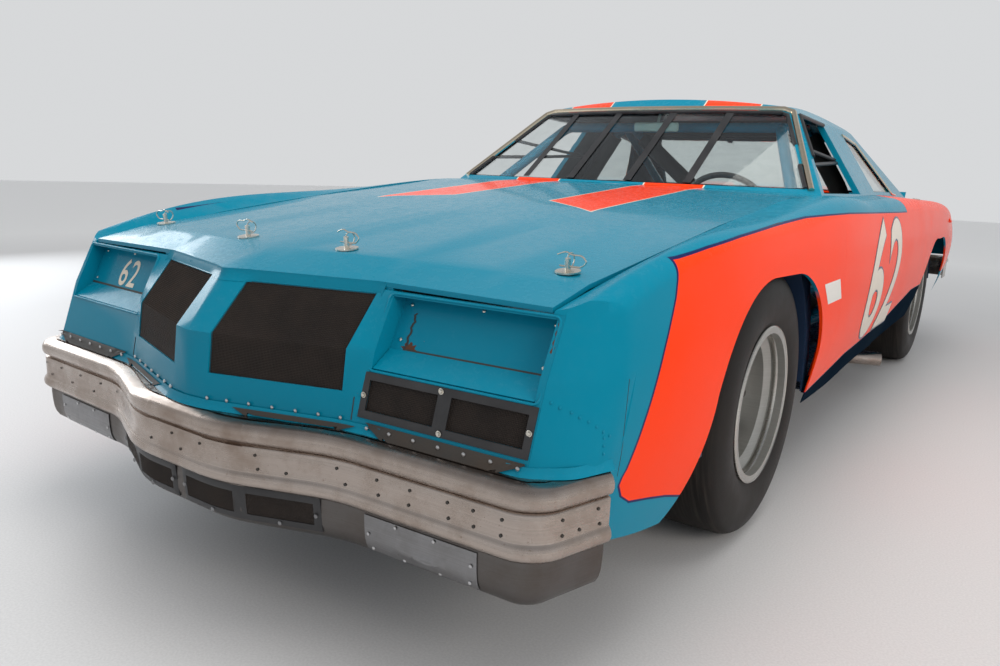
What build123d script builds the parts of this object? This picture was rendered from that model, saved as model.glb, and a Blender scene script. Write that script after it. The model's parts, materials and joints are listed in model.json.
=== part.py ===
# Stock car: two-door oval-track coupe of the late 1970s, in millimetres.
# +X is the car's left, -Y its front, +Z up. Lengths along the car are measured from the front axle and
# heights from the body's own base line. Every piece is moved at the end so that the tyres stand on
# z = 0 and the origin is under the middle of the whole car.
from build123d import *
import math
import os

# Overall sizes
WHEELBASE = 2921.0
FRONT_OVERHANG = 1229.0
REAR_OVERHANG = 1186.0
BUMPER_BULGE = 7.0
AXLE_HEIGHT = 347.0
BODY_GAP = 5.0
SEAT_GAP = 0.3

# Wheels
TYRE_RADIUS = 375.0
TYRE_WIDTH = 286.0
WHEEL_CENTRE_X = 747.0
RIM_LIP_RADIUS = 220.0
RIM_BEAD_RADIUS = 206.0
RIM_WELL_DROP = 22.0
RIM_SHEET = 6.0
RIM_HALF_WIDTH = 134.0
HUB_RADIUS = 58.0
LUG_CIRCLE_RADIUS = 82.0
LUG_COUNT = 5
VENT_CIRCLE_RADIUS = 136.0
VENT_RADIUS = 18.0
DISC_RADIUS = 150.0
SPINDLE_RADIUS = 24.0
SPINDLE_FIT = 0.06

# Body sheet
SKIN = 10.0
DOOR_THICKNESS = 48.0
DOOR_FRONT = 610.0
DOOR_REAR = 1640.0
TAIL_END = 4036.0
HOOD_REAR = 505.0
HOOD_HALF_WIDTH = 766.0
DECK_FRONT = 3010.0
DECK_HALF_WIDTH = 660.0
DECK_REAR = 3985.0
SILL_CLEARANCE = 30.0
CABIN_EDGE = 783.0

# Nose
NOSE_BOTTOM = 447.0
KNEE_HEIGHT = 592.0
BROW_HEIGHT = 718.0
NOSE_TOP = 703.0
WINDOW_TOP = 695.0
NOSE_SKIN = 12.0
GRILLE_INNER_X = 60.0
GRILLE_OUTER_X = 361.0
GRILLE_BOTTOM = 508.0
LAMP_INNER_X = 412.0
LAMP_OUTER_X = 776.0
CORNER_X = LAMP_OUTER_X + 14
LAMP_BOTTOM = 556.0
LAMP_DEPTH = 42.0
INTAKE_BOTTOM = 476.0
INTAKE_TOP = 538.0

# Greenhouse
ROOF_THICKNESS = 28.0
GLASS = 6.0
HEADER_HEIGHT = 1222.0
BELT_GLASS = 934.0

# Bumper
BUMPER_TOP = 445.0
BUMPER_BAND_TOP = 401.0
BUMPER_BAND_BOTTOM = 318.0
VALANCE_BOTTOM = 240.0
VALANCE_BACK = -972.0
BUMPER_SHEET = 5.0
REAR_BUMPER_TOP = 520.0
REAR_BUMPER_BAND_TOP = 480.0
REAR_BUMPER_BAND_BOTTOM = 385.0
REAR_BUMPER_FRONT = 3820.0
REAR_BUMPER_HALF_WIDTH = 912.0
FRONT_END = -FRONT_OVERHANG + BUMPER_BULGE
REAR_END = WHEELBASE + REAR_OVERHANG - BUMPER_BULGE

# Chassis
RAIL_WIDTH = 60.0
RAIL_HEIGHT = 90.0
RAIL_BOTTOM = 175.0
TUBE_RADIUS = 22.0
CROSS_TUBE_RADIUS = 21.0
DOOR_BAR_RADIUS = 19.0
FLOOR_HEIGHT = 268.0
FLOOR_SHEET = 6.0
FIREWALL_Y = 560.0
BULKHEAD_Y = 2376.0
BULKHEAD_TOP = 772.0
TRUNK_FLOOR = 560.0
ARCH_WELL_RADIUS = 440.0
WELL_SHEET = 5.0

FRONT_AXLE_Y = FRONT_OVERHANG - (WHEELBASE + FRONT_OVERHANG + REAR_OVERHANG) / 2
REAR_AXLE = WHEELBASE
RIDE_LIFT = TYRE_RADIUS - AXLE_HEIGHT

# Body cross-sections, from ahead of the nose to behind the tail, in columns:
# y, crown z at the centre line, seam x and z (hood or deck edge, or window base), shoulder x and z,
# belt x and z, widest x and z, sill x and z
BODY_STATIONS = [
    (-1240, 692, 759, 660, 800, 662, 843, 592, 853, 490, 841, 350),
    (-1000, 735, 762, 700, 812, 708, 858, 655, 872, 520, 856, 304),
    (-640, 800, 766, 768, 832, 803, 880, 765, 900, 560, 878, 232),
    (-150, 862, 768, 836, 838, 848, 894, 808, 910, 560, 885, 240),
    (500, 920, 778, 905, 838, 899, 907, 846, 926, 560, 876, 250),
    (1100, 930, 790, 912, 845, 906, 917, 848, 938, 580, 873, 254),
    (1800, 935, 790, 918, 848, 910, 924, 848, 944, 590, 872, 262),
    (2500, 935, 740, 914, 850, 904, 934, 845, 954, 600, 884, 280),
    (3200, 925, 700, 902, 848, 890, 940, 828, 960, 610, 902, 320),
    (3650, 906, 686, 883, 836, 872, 922, 806, 946, 602, 894, 368),
    (4100, 864, 668, 842, 812, 832, 888, 758, 908, 590, 878, 440),
]


def side_prism(points, x_low, x_high):
    plane = Plane(origin=(x_low, 0, 0), x_dir=(0, 1, 0), z_dir=(1, 0, 0))
    return extrude(plane * make_face(Polyline(*points, close=True)), x_high - x_low)


def plan_prism(points, z_low, z_high):
    return extrude(Plane.XY.offset(z_low) * make_face(Polyline(*points, close=True)), z_high - z_low)


def front_prism(points, y_low, y_high):
    plane = Plane(origin=(0, y_high, 0), x_dir=(1, 0, 0), z_dir=(0, -1, 0))
    return extrude(plane * make_face(Polyline(*points, close=True)), y_high - y_low)


def block(x_low, x_high, y_low, y_high, z_low, z_high):
    size = (x_high - x_low, y_high - y_low, z_high - z_low)
    centre = ((x_low + x_high) / 2, (y_low + y_high) / 2, (z_low + z_high) / 2)
    return Pos(*centre) * Box(*size)


def tube(start, end, radius):
    start, end = Vector(*start), Vector(*end)
    line = end - start
    plane = Plane(origin=start, z_dir=line.normalized())
    return extrude(plane * Circle(radius), line.length)


def tube_run(points, bends, radius):
    path = FilletPolyline(*points, radius=bends)
    return sweep(Plane(path ^ 0) * Circle(radius), path=path)


def mirrored(shape):
    return mirror(shape, about=Plane.YZ)


def both_sides(shape):
    return Compound(children=[shape, mirrored(shape)])


def write(node, shape):
    os.makedirs("parts", exist_ok=True)
    export_step(shape.moved(Location((0, FRONT_AXLE_Y, RIDE_LIFT))), "parts/" + node + ".step")


# Body shell: one smooth outer form, from which every panel is cut
def body_section(station, inset, drop):
    y, crown_z, seam_x, seam_z, sh_x, sh_z, belt_x, belt_z, wide_x, wide_z, sill_x, sill_z = station
    crown = (0, crown_z - inset)
    seam = (seam_x, seam_z - inset)
    shoulder = (sh_x - 0.5 * inset, sh_z - inset)
    belt = (belt_x - inset, belt_z - 0.4 * inset)
    wide = (wide_x - inset, wide_z)
    sill = (sill_x - inset, sill_z - drop)
    bulge = (
        (shoulder[0] + belt[0]) / 2 + 0.17 * (shoulder[1] - belt[1]),
        (shoulder[1] + belt[1]) / 2 + 0.17 * (belt[0] - shoulder[0]),
    )
    left = [
        Line(seam, shoulder),
        ThreePointArc(shoulder, bulge, belt),
        ThreePointArc(belt, wide, sill),
    ]
    right = [mirror(edge, about=Plane.YZ) for edge in left]
    top = ThreePointArc((-seam[0], seam[1]), crown, seam)
    bottom = Line(sill, (-sill[0], sill[1]))
    outline = make_face(Curve() + [top, bottom] + left + right)
    return Plane(origin=(0, y, 0), x_dir=(1, 0, 0), z_dir=(0, -1, 0)) * outline


def body_form(inset, drop):
    return loft([body_section(station, inset, drop) for station in BODY_STATIONS])


BODY_OUTER = body_form(0, 0)
BODY_INNER = body_form(SKIN, SILL_CLEARANCE)
DOOR_INNER = body_form(DOOR_THICKNESS, SILL_CLEARANCE)


def hood_outline(gap):
    half = HOOD_HALF_WIDTH - gap
    return [
        (-half, -1100), (half, -1100), (half, HOOD_REAR - gap), (-half, HOOD_REAR - gap),
    ]


def deck_outline(gap):
    return [
        (-DECK_HALF_WIDTH + gap, DECK_FRONT + gap), (DECK_HALF_WIDTH - gap, DECK_FRONT + gap),
        (DECK_HALF_WIDTH - gap, TAIL_END + 90), (-DECK_HALF_WIDTH + gap, TAIL_END + 90),
    ]


# Wheel arch openings, seen from the side
def front_arch():
    edge = [
        Line((452, 180), (452, 430)),
        ThreePointArc((452, 430), (352, 605), (110, 706)),
        Line((110, 706), (-100, 711)),
        ThreePointArc((-100, 711), (-300, 652), (-455, 477)),
        ThreePointArc((-455, 477), (-522, 340), (-690, 228)),
        Line((-690, 228), (-690, 180)),
        Line((-690, 180), (452, 180)),
    ]
    plane = Plane(origin=(500, 0, 0), x_dir=(0, 1, 0), z_dir=(1, 0, 0))
    return extrude(plane * make_face(Curve() + edge), 600)


def rear_arch():
    edge = [
        Line((-470, 180), (-455, 400)),
        ThreePointArc((-455, 400), (-330, 620), (-60, 692)),
        Line((-60, 692), (60, 692)),
        ThreePointArc((60, 692), (330, 620), (455, 400)),
        Line((455, 400), (470, 180)),
        Line((470, 180), (-470, 180)),
    ]
    plane = Plane(origin=(500, REAR_AXLE, 0), x_dir=(0, 1, 0), z_dir=(1, 0, 0))
    return extrude(plane * make_face(Curve() + edge), 600)


SKIN_SHELL = BODY_OUTER - BODY_INNER
HOOD_OPENING = plan_prism(hood_outline(0), 600, 1000)
DECK_OPENING = plan_prism(deck_outline(0), 600, 1000)

door = (BODY_OUTER - DOOR_INNER) & block(500, 1100, DOOR_FRONT, DOOR_REAR, 150, 1000)
door -= block(500, CABIN_EDGE, DOOR_FRONT - 10, DOOR_REAR + 10, 800, 1000)
write("left_door", door)
write("right_door", mirrored(door))

quarter = SKIN_SHELL & block(500, 1100, DOOR_REAR + SEAT_GAP, TAIL_END - SEAT_GAP, 150, 1000)
quarter -= DECK_OPENING
quarter -= block(500, 1100, REAR_BUMPER_FRONT - BODY_GAP, REAR_END, 100, REAR_BUMPER_TOP + BODY_GAP)
quarter -= rear_arch()
quarter -= plan_prism([(500, 1600), (CABIN_EDGE, 1600), (CABIN_EDGE, 2200), (735, 2800), (DECK_HALF_WIDTH, 2800),
                       (DECK_HALF_WIDTH, DECK_FRONT + 20), (500, DECK_FRONT + 20)], 800, 1000)
filler = Pos(905, 3420, 800) * Rot(0, 60, 0) * Cylinder(52, 60)
quarter += filler
write("left_quarter", quarter)
write("right_quarter", mirrored(quarter - filler))

deck_lid = (SKIN_SHELL & block(-900, 900, DECK_FRONT, DECK_REAR, 700, 1000))
deck_lid &= plan_prism(deck_outline(BODY_GAP), 600, 1000)
spoiler = side_prism([(3922, 848), (3982, 938), (3988, 935), (3932, 846)], -600, 600)
deck_lid += spoiler
write("deck_lid", deck_lid)


# Nose: plan outlines stacked up the face, with the prow in the middle
# Columns: x, y at the bottom, at the knee, at the nose's top, at the top of the corner form
NOSE_PLAN = [
    (0, -1190, -1182, -1092, -1046),
    (GRILLE_INNER_X, -1184, -1169, -1068, -1016),
    (GRILLE_OUTER_X, -1090, -1072, -980, -933),
    (LAMP_INNER_X, -1082, -1044, -988, -959),
    (CORNER_X, -1062, -1015, -961, -933),
]
# How the corner turns back from the nose's face into the side: x and y from the last row
CORNER_MIDDLE = (56, 52)
CORNER_END = (92, 160)
FORM_HALF_WIDTH = 1000.0
FORM_BACK = 700.0
FORM_LOW = 150.0
FORM_HIGH = 760.0
FORM_TOP = 1000.0
# Rubber stops that the hood rests on, in columns x and y
STOP_PLACES = [(386, -964), (210, -1010)]


def nose_outline(column, inset):
    face = [(row[0], row[column] + inset) for row in NOSE_PLAN]
    ridge_y = NOSE_PLAN[-1][column]
    ridge = (CORNER_X - 0.4 * inset, ridge_y + inset)
    middle = (CORNER_X + CORNER_MIDDLE[0] - 0.75 * inset, ridge_y + CORNER_MIDDLE[1] + 0.66 * inset)
    end = (CORNER_X + CORNER_END[0] - inset, ridge_y + CORNER_END[1] + 0.2 * inset)
    points = face[:-1] + [ridge]
    left = [Line(start, stop) for start, stop in zip(points, points[1:])]
    left += [
        ThreePointArc(ridge, middle, end),
        Line(end, (FORM_HALF_WIDTH, end[1] + 120)),
        Line((FORM_HALF_WIDTH, end[1] + 120), (FORM_HALF_WIDTH, FORM_BACK)),
    ]
    right = [mirror(edge, about=Plane.YZ) for edge in left]
    back = Line((FORM_HALF_WIDTH, FORM_BACK), (-FORM_HALF_WIDTH, FORM_BACK))
    return make_face(Curve() + left + right + [back])


def front_form(inset, levels):
    return loft([Plane.XY.offset(z) * nose_outline(column, inset) for z, column in levels], ruled=True)


CORNER_LEVELS = [(FORM_LOW, 1), (NOSE_BOTTOM, 1), (KNEE_HEIGHT, 2), (NOSE_TOP, 3), (FORM_HIGH, 4), (FORM_TOP, 4)]


def grille_window(grow, y_high):
    face = [
        (GRILLE_INNER_X + grow, GRILLE_BOTTOM + grow),
        (GRILLE_OUTER_X - grow, GRILLE_BOTTOM + grow),
        (GRILLE_OUTER_X - grow, WINDOW_TOP - grow),
        (GRILLE_INNER_X + grow, WINDOW_TOP - grow),
    ]
    return front_prism(face, -1400, y_high)


def lamp_window(grow, y_low, y_high):
    face = [
        (LAMP_INNER_X + grow, LAMP_BOTTOM + grow), (LAMP_OUTER_X - grow, LAMP_BOTTOM + grow),
        (LAMP_OUTER_X - grow, WINDOW_TOP - grow), (LAMP_INNER_X + grow, WINDOW_TOP - grow),
    ]
    return front_prism(face, y_low, y_high)


def intake_window(grow):
    low, high = INTAKE_BOTTOM + grow, INTAKE_TOP - grow
    inner, outer = LAMP_INNER_X + grow, LAMP_OUTER_X - grow
    return front_prism([(inner, low), (outer, low), (outer, high), (inner, high)], -1400, -900)


nose_outer = front_form(0, [(NOSE_BOTTOM, 1), (KNEE_HEIGHT, 2), (NOSE_TOP, 3)])
nose_inner = front_form(NOSE_SKIN, [(NOSE_BOTTOM - NOSE_SKIN, 1), (KNEE_HEIGHT, 2), (NOSE_TOP, 3)])
nose = (nose_outer - nose_inner) & block(-CORNER_X, CORNER_X, -1400, -880, 400, 800)
for window in (grille_window(0, -900), lamp_window(0, -1400, -900)):
    nose -= window
    nose -= mirrored(window)
nose -= intake_window(0)
pocket = nose_outer - Pos(0, LAMP_DEPTH + 8, 0) * nose_outer
pocket &= lamp_window(-4, -1400, -860) - lamp_window(0, -1400, -860)
nose += pocket
nose += mirrored(pocket)
for x, y in STOP_PLACES:
    stop = block(x - 10, x + 10, y - 14, y + 14, WINDOW_TOP + SEAT_GAP, BROW_HEIGHT - SKIN - SEAT_GAP)
    nose += stop
    nose += mirrored(stop)
write("nose_panel", nose)

# Front fenders, with the rounded corners that turn from the nose's face into the sides
fender = (BODY_OUTER & front_form(0, CORNER_LEVELS)) - (BODY_INNER & front_form(SKIN, CORNER_LEVELS))
fender &= block(500, 1100, -1300, DOOR_FRONT - SEAT_GAP, FORM_LOW, 1000)
fender -= HOOD_OPENING
fender -= block(500, CORNER_X + SEAT_GAP, -1300, NOSE_PLAN[-1][3] + NOSE_SKIN + SEAT_GAP, FORM_LOW,
                NOSE_TOP + SEAT_GAP)
fender -= front_arch()
fender -= block(500, CABIN_EDGE, HOOD_REAR - 10, DOOR_FRONT + 10, 800, 1000)
write("left_fender", fender)
write("right_fender", mirrored(fender))

screen_outer = Pos(0, 6, 0) * nose_outer
screen_inner = Pos(0, 10, 0) * nose_outer
screen_shell = screen_outer - screen_inner
grille = screen_shell & grille_window(SEAT_GAP, -900)
intake = screen_shell & intake_window(SEAT_GAP)
write("mesh_screens", Compound(children=[grille, mirrored(grille), intake]))

cover = (Pos(0, LAMP_DEPTH, 0) * nose_outer - Pos(0, LAMP_DEPTH + 4, 0) * nose_outer)
cover &= lamp_window(SEAT_GAP, -1400, -880)
write("lamp_covers", both_sides(cover))

# Hood: profiles side by side across the car, following the prow at its front edge
# Columns: x, front edge y and z, brow top y and z, middle z at y -150, rear z
HOOD_PLAN = [
    (0, -1090, 718, -960, 757, 862, 920),
    (GRILLE_INNER_X, -1066, 718, -945, 757, 862, 920),
    (GRILLE_OUTER_X, -978, 718, -890, 757, 857, 917),
    (600, -972, 717, -860, 752, 848, 912),
    (HOOD_HALF_WIDTH - BODY_GAP, -959, 714, -830, 744, 836, 905),
]


def hood_profile(row, thickness):
    x, front_y, front_z, brow_y, brow_z, mid_z, rear_z = row
    top = [(front_y, front_z), (brow_y, brow_z), (-150, mid_z), (HOOD_REAR - BODY_GAP, rear_z)]
    under = [(y, z - thickness) for y, z in reversed(top)]
    plane = Plane(origin=(x, 0, 0), x_dir=(0, 1, 0), z_dir=(1, 0, 0))
    return plane * make_face(Polyline(*(top + under), close=True))


hood = loft([hood_profile(row, SKIN) for row in HOOD_PLAN], ruled=True)
hood = hood + mirrored(hood)
write("hood", hood)

# Cowl: the panel between the hood and the windshield

def hood_height(x, y):
    rows = [row for row in zip(HOOD_PLAN, HOOD_PLAN[1:]) if row[0][0] <= x <= row[1][0]][0]
    share = (x - rows[0][0]) / (rows[1][0] - rows[0][0])
    brow_y, brow_z, mid_z = [rows[0][k] + share * (rows[1][k] - rows[0][k]) for k in (3, 4, 5)]
    slope = (mid_z - brow_z) / (-150 - brow_y)
    return brow_z + slope * (y - brow_y), math.degrees(math.atan(slope))


# Hood pins with their scuff plates and clips
PIN_PLACES = [(174, -890), (690, -790)]
PLATE_RADIUS = 26.0
PLATE_THICKNESS = 3.0
PIN_HEIGHT = 28.0
pins = []
for x, y in PIN_PLACES:
    z, slope = hood_height(x, y)
    fall = abs(hood_height(x + 1, y)[0] - z)
    seat = SEAT_GAP + fall * PLATE_RADIUS
    pin = Pos(0, 0, PLATE_THICKNESS / 2) * Cylinder(PLATE_RADIUS, PLATE_THICKNESS)
    pin += Pos(0, 0, PIN_HEIGHT / 2) * Cylinder(6, PIN_HEIGHT)
    pin += Pos(0, 12, PIN_HEIGHT - 6) * Rot(0, 90, 0) * Torus(14, 1.6)
    pin = Location((x, y, z + seat), (slope, 0, 0)) * pin
    pins += [pin, mirrored(pin)]
write("hood_pins", Compound(children=pins))

# Front bumper: one formed section swept along its plan, with mitred bends
FRONT_BUMPER_PLAN = [(-880, -925), (-834, -1108), (-385, -1128), (-150, FRONT_END),
                     (150, FRONT_END), (385, -1128), (834, -1108), (880, -925)]
FRONT_BUMPER_BENDS = [60, 60, 40, 40, 60, 60]


def bumper_sheet(path_points, bends, profile):
    path = FilletPolyline(*[(x, y, 0) for x, y in path_points], radius=bends)
    start, stop = Vector(*path_points[0]), Vector(*path_points[1])
    along = (stop - start).normalized()
    plane = Plane(origin=(start.X, start.Y, 0), x_dir=(-along.Y, along.X, 0), z_dir=along)
    return sweep(plane * make_face(profile), path=path)


def bumper_profile(sign, top, band_top, band_bottom, sheet):
    outer = [
        Line((sign * 52, top - 2), (sign * 30, top)),
        ThreePointArc((sign * 30, top), (sign * -4, top - 14), (sign * -6, band_top + 8)),
        Line((sign * -6, band_top + 8), (0, band_top)),
        Line((0, band_top), (0, band_bottom)),
        Line((0, band_bottom), (sign * sheet, band_bottom)),
        Line((sign * sheet, band_bottom), (sign * sheet, band_top + 4)),
        Line((sign * sheet, band_top + 4), (sign * 2, band_top + 10)),
        ThreePointArc((sign * 2, band_top + 10), (sign * 4, top - 18), (sign * 30, top - sheet)),
        Line((sign * 30, top - sheet), (sign * 52, top - sheet - 2)),
        Line((sign * 52, top - sheet - 2), (sign * 52, top - 2)),
    ]
    return Curve() + outer


front_profile = bumper_profile(1, BUMPER_TOP, BUMPER_BAND_TOP, BUMPER_BAND_BOTTOM, BUMPER_SHEET)
front_bumper = bumper_sheet(FRONT_BUMPER_PLAN, FRONT_BUMPER_BENDS, front_profile)
corner_seat = body_form(-SEAT_GAP, 0) & front_form(-SEAT_GAP, CORNER_LEVELS)
corner_seat &= block(CORNER_X - 10, 1000, -1300, -700, FORM_LOW, 500)
front_bumper -= corner_seat
front_bumper -= mirrored(corner_seat)
write("front_bumper", front_bumper)

valance_profile = Curve() + [
    Line((4, BUMPER_BAND_BOTTOM - SEAT_GAP), (4, VALANCE_BOTTOM + 26)),
    ThreePointArc((4, VALANCE_BOTTOM + 26), (10, VALANCE_BOTTOM + 8), (28, VALANCE_BOTTOM)),
    Line((28, VALANCE_BOTTOM), (28, VALANCE_BOTTOM + 4)),
    ThreePointArc((28, VALANCE_BOTTOM + 4), (13, VALANCE_BOTTOM + 11), (8, VALANCE_BOTTOM + 26)),
    Line((8, VALANCE_BOTTOM + 26), (8, BUMPER_BAND_BOTTOM - SEAT_GAP)),
    Line((8, BUMPER_BAND_BOTTOM - SEAT_GAP), (4, BUMPER_BAND_BOTTOM - SEAT_GAP)),
]
valance = bumper_sheet(FRONT_BUMPER_PLAN, FRONT_BUMPER_BENDS, valance_profile)
valance -= corner_seat
valance -= mirrored(corner_seat)
valance -= block(-1000, 1000, VALANCE_BACK, -800, 200, 400)
for low, high in ((78, 200), (212, 336)):
    duct = block(low, high, -1400, -1050, 268, 306)
    valance -= duct
    valance -= mirrored(duct)
write("front_valance", valance)

# Rear bumper
REAR_BUMPER_PLAN = [(-REAR_BUMPER_HALF_WIDTH, REAR_BUMPER_FRONT), (-REAR_BUMPER_HALF_WIDTH, REAR_END - 48),
                    (-500, REAR_END), (500, REAR_END),
                    (REAR_BUMPER_HALF_WIDTH, REAR_END - 48), (REAR_BUMPER_HALF_WIDTH, REAR_BUMPER_FRONT)]
rear_profile = bumper_profile(-1, REAR_BUMPER_TOP, REAR_BUMPER_BAND_TOP, REAR_BUMPER_BAND_BOTTOM, BUMPER_SHEET)
rear_bumper = bumper_sheet(REAR_BUMPER_PLAN, [84, 60, 60, 84], rear_profile)
write("rear_bumper", rear_bumper)

# Tail panel and lamps
TAIL_THICKNESS = 18.0
TAIL_FORM = body_form(SKIN + SEAT_GAP, SILL_CLEARANCE)
tail = TAIL_FORM & block(-1000, 1000, TAIL_END - TAIL_THICKNESS, TAIL_END, 530, 900)
tail += SKIN_SHELL & block(-DECK_HALF_WIDTH + SEAT_GAP, DECK_HALF_WIDTH - SEAT_GAP,
                           DECK_REAR + BODY_GAP, TAIL_END, 780, 1000)
for x in (-300, 260):
    tail += TAIL_FORM & block(x, x + 40, DECK_REAR - 20, TAIL_END - TAIL_THICKNESS + 1, 835, 900)
lamp_cut = block(470, 780, TAIL_END - 60, TAIL_END + 60, 640, 770)
tail -= lamp_cut
tail -= mirrored(lamp_cut)
write("tail_panel", tail)
lamp = block(470 + SEAT_GAP, 780 - SEAT_GAP, TAIL_END - 20, TAIL_END + 8, 640 + SEAT_GAP, 770 - SEAT_GAP)
write("tail_lamps", both_sides(lamp))


# Greenhouse: plan outlines at the belt, below the roof and at the roof's top
# Columns: z, front centre y, front corner x and y, rear corner x and y, rear centre y
CABIN_LEVELS = [
    (890, 552, 812, 720, 775, 2830, 2930),
    (1215, 1010, 590, 1105, 560, 2215, 2290),
    (1310, 1140, 470, 1215, 440, 2035, 2105),
]


def cabin_outline(level, inset):
    z, front_y, fx, fy, rx, ry, rear_y = level
    fx, rx = fx - inset, rx - inset
    fy, ry = fy + inset, ry - inset
    edges = [
        ThreePointArc((-fx, fy), (0, front_y + inset), (fx, fy)),
        Line((fx, fy), (rx, ry)),
        ThreePointArc((rx, ry), (0, rear_y - inset), (-rx, ry)),
        Line((-rx, ry), (-fx, fy)),
    ]
    return Plane.XY.offset(z) * make_face(Curve() + edges)


def roof_crown(inset):
    sections = []
    for y, side_z, centre_z in ((400, 1150, 1205), (1120, 1236, 1285), (1700, 1250, 1297),
                                (2250, 1215, 1262), (3000, 1100, 1140)):
        edges = [
            ThreePointArc((-620, side_z - inset), (0, centre_z - inset), (620, side_z - inset)),
            Line((620, side_z - inset), (1000, side_z - inset - 60)),
            Line((1000, side_z - inset - 60), (1000, 800)),
            Line((1000, 800), (-1000, 800)),
            Line((-1000, 800), (-1000, side_z - inset - 60)),
            Line((-1000, side_z - inset - 60), (-620, side_z - inset)),
        ]
        plane = Plane(origin=(0, y, 0), x_dir=(1, 0, 0), z_dir=(0, -1, 0))
        sections.append(plane * make_face(Curve() + edges))
    return loft(sections)


def cabin_form(inset):
    lower = loft([cabin_outline(CABIN_LEVELS[0], inset), cabin_outline(CABIN_LEVELS[1], inset)], ruled=True)
    upper = loft([cabin_outline(CABIN_LEVELS[1], inset), cabin_outline(CABIN_LEVELS[2], inset)], ruled=True)
    return (lower + upper) & roof_crown(inset)


CABIN_OUTER = cabin_form(0)
CABIN_INNER = cabin_form(ROOF_THICKNESS)


def windshield_window(grow):
    face = [(-735 + grow, BELT_GLASS + grow), (735 - grow, BELT_GLASS + grow),
            (548 - grow, HEADER_HEIGHT - grow), (-548 + grow, HEADER_HEIGHT - grow)]
    return front_prism(face, 400, 1195)


def rear_window_window(grow):
    face = [(-650 + grow, BELT_GLASS + grow), (650 - grow, BELT_GLASS + grow),
            (500 - grow, 1190 - grow), (-500 + grow, 1190 - grow)]
    return front_prism(face, 2240, 3100)


DOOR_WINDOW = [(805, BELT_GLASS - 12), (1500, BELT_GLASS - 12), (1530, 1200), (1130, 1208)]
QUARTER_WINDOW = [(1880, BELT_GLASS), (2360, BELT_GLASS), (2120, 1150), (1905, 1178)]


def quarter_window_hole(grow):
    (ay, az), (by, bz), (cy, cz), (dy, dz) = QUARTER_WINDOW
    points = [(ay + grow, az + grow), (by - 1.6 * grow, bz + grow),
              (cy - grow, cz - grow), (dy + grow, dz - grow)]
    return side_prism(points, 450, 1000)


roof = CABIN_OUTER - CABIN_INNER
roof -= windshield_window(0)
roof -= rear_window_window(0)
for hole in (side_prism(DOOR_WINDOW, 450, 1000), quarter_window_hole(0)):
    roof -= hole
    roof -= mirrored(hole)
roof -= BODY_OUTER
write("roof_shell", roof)

# Cowl and rear deck panel: what closes the body's top before and behind the glass
cabin_hole = extrude(cabin_outline(CABIN_LEVELS[0], ROOF_THICKNESS), 200)
cowl = SKIN_SHELL & block(-CABIN_EDGE + SEAT_GAP, CABIN_EDGE - SEAT_GAP, HOOD_REAR, 780, 800, 1000)
write("cowl_panel", cowl - cabin_hole)
rear_deck = SKIN_SHELL & block(-DECK_HALF_WIDTH + SEAT_GAP, DECK_HALF_WIDTH - SEAT_GAP, 2700, DECK_FRONT, 800, 1000)
write("rear_deck_panel", rear_deck - cabin_hole)

glass_band = cabin_form(6) - cabin_form(6 + GLASS)
write("windshield", glass_band & windshield_window(SEAT_GAP))
write("rear_window", glass_band & rear_window_window(SEAT_GAP))
write("quarter_windows", both_sides(glass_band & quarter_window_hole(SEAT_GAP)))

# Straps that brace the windshield and the rear window from inside
strap_band = cabin_form(6 + GLASS + SEAT_GAP) - cabin_form(10 + GLASS + SEAT_GAP)
straps = []
for x in (-260, 0, 260):
    band = front_prism([(x - 9, BELT_GLASS + 4), (x + 9, BELT_GLASS + 4),
                        (0.74 * x + 9, HEADER_HEIGHT - 4), (0.74 * x - 9, HEADER_HEIGHT - 4)], 400, 1180)
    straps.append(strap_band & band)
for x in (-230, 230):
    band = front_prism([(x - 9, BELT_GLASS + 4), (x + 9, BELT_GLASS + 4),
                        (0.77 * x + 9, 1186), (0.77 * x - 9, 1186)], 2245, 3100)
    straps.append(strap_band & band)
write("window_braces", Compound(children=straps))

# Floor, firewall, bulkhead and wheel houses
floor = block(-1000, 1000, FIREWALL_Y, BULKHEAD_Y, FLOOR_HEIGHT, FLOOR_HEIGHT + FLOOR_SHEET)
floor &= body_form(DOOR_THICKNESS + SEAT_GAP, SILL_CLEARANCE)
floor += block(-110, 110, FIREWALL_Y, 1500, FLOOR_HEIGHT, FLOOR_HEIGHT + 150) \
    - block(-102, 102, FIREWALL_Y - 10, 1492, FLOOR_HEIGHT - 10, FLOOR_HEIGHT + 142)
floor += block(-480, 480, BULKHEAD_Y - FLOOR_SHEET, 3960, TRUNK_FLOOR, TRUNK_FLOOR + FLOOR_SHEET)
floor += block(-760, 760, BULKHEAD_Y - FLOOR_SHEET, BULKHEAD_Y, FLOOR_HEIGHT, BULKHEAD_TOP)


def wheel_house(centre_y, x_low, x_high, end_wall, cut_below):
    length = x_high - x_low
    place = Pos((x_low + x_high) / 2, centre_y, AXLE_HEIGHT)
    shell = place * Rot(0, 90, 0) * Cylinder(ARCH_WELL_RADIUS, length)
    shell -= place * Pos(end_wall, 0, 0) * Rot(0, 90, 0) * Cylinder(ARCH_WELL_RADIUS - WELL_SHEET, length)
    return shell & block(x_low, x_high, centre_y - 600, centre_y + 600, cut_below, 1000)


rear_house = wheel_house(REAR_AXLE, 480, 880, WELL_SHEET, 420)
front_house = wheel_house(0, 400 + SEAT_GAP, 872, 0, 325)
write("floor_pan", floor)
write("wheel_houses", Compound(children=[rear_house, mirrored(rear_house), front_house, mirrored(front_house)]))
FIREWALL_TOP = 884.0
firewall = block(-770, 770, FIREWALL_Y - 10, FIREWALL_Y - SEAT_GAP, FLOOR_HEIGHT, FIREWALL_TOP)
write("firewall", firewall)

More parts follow.
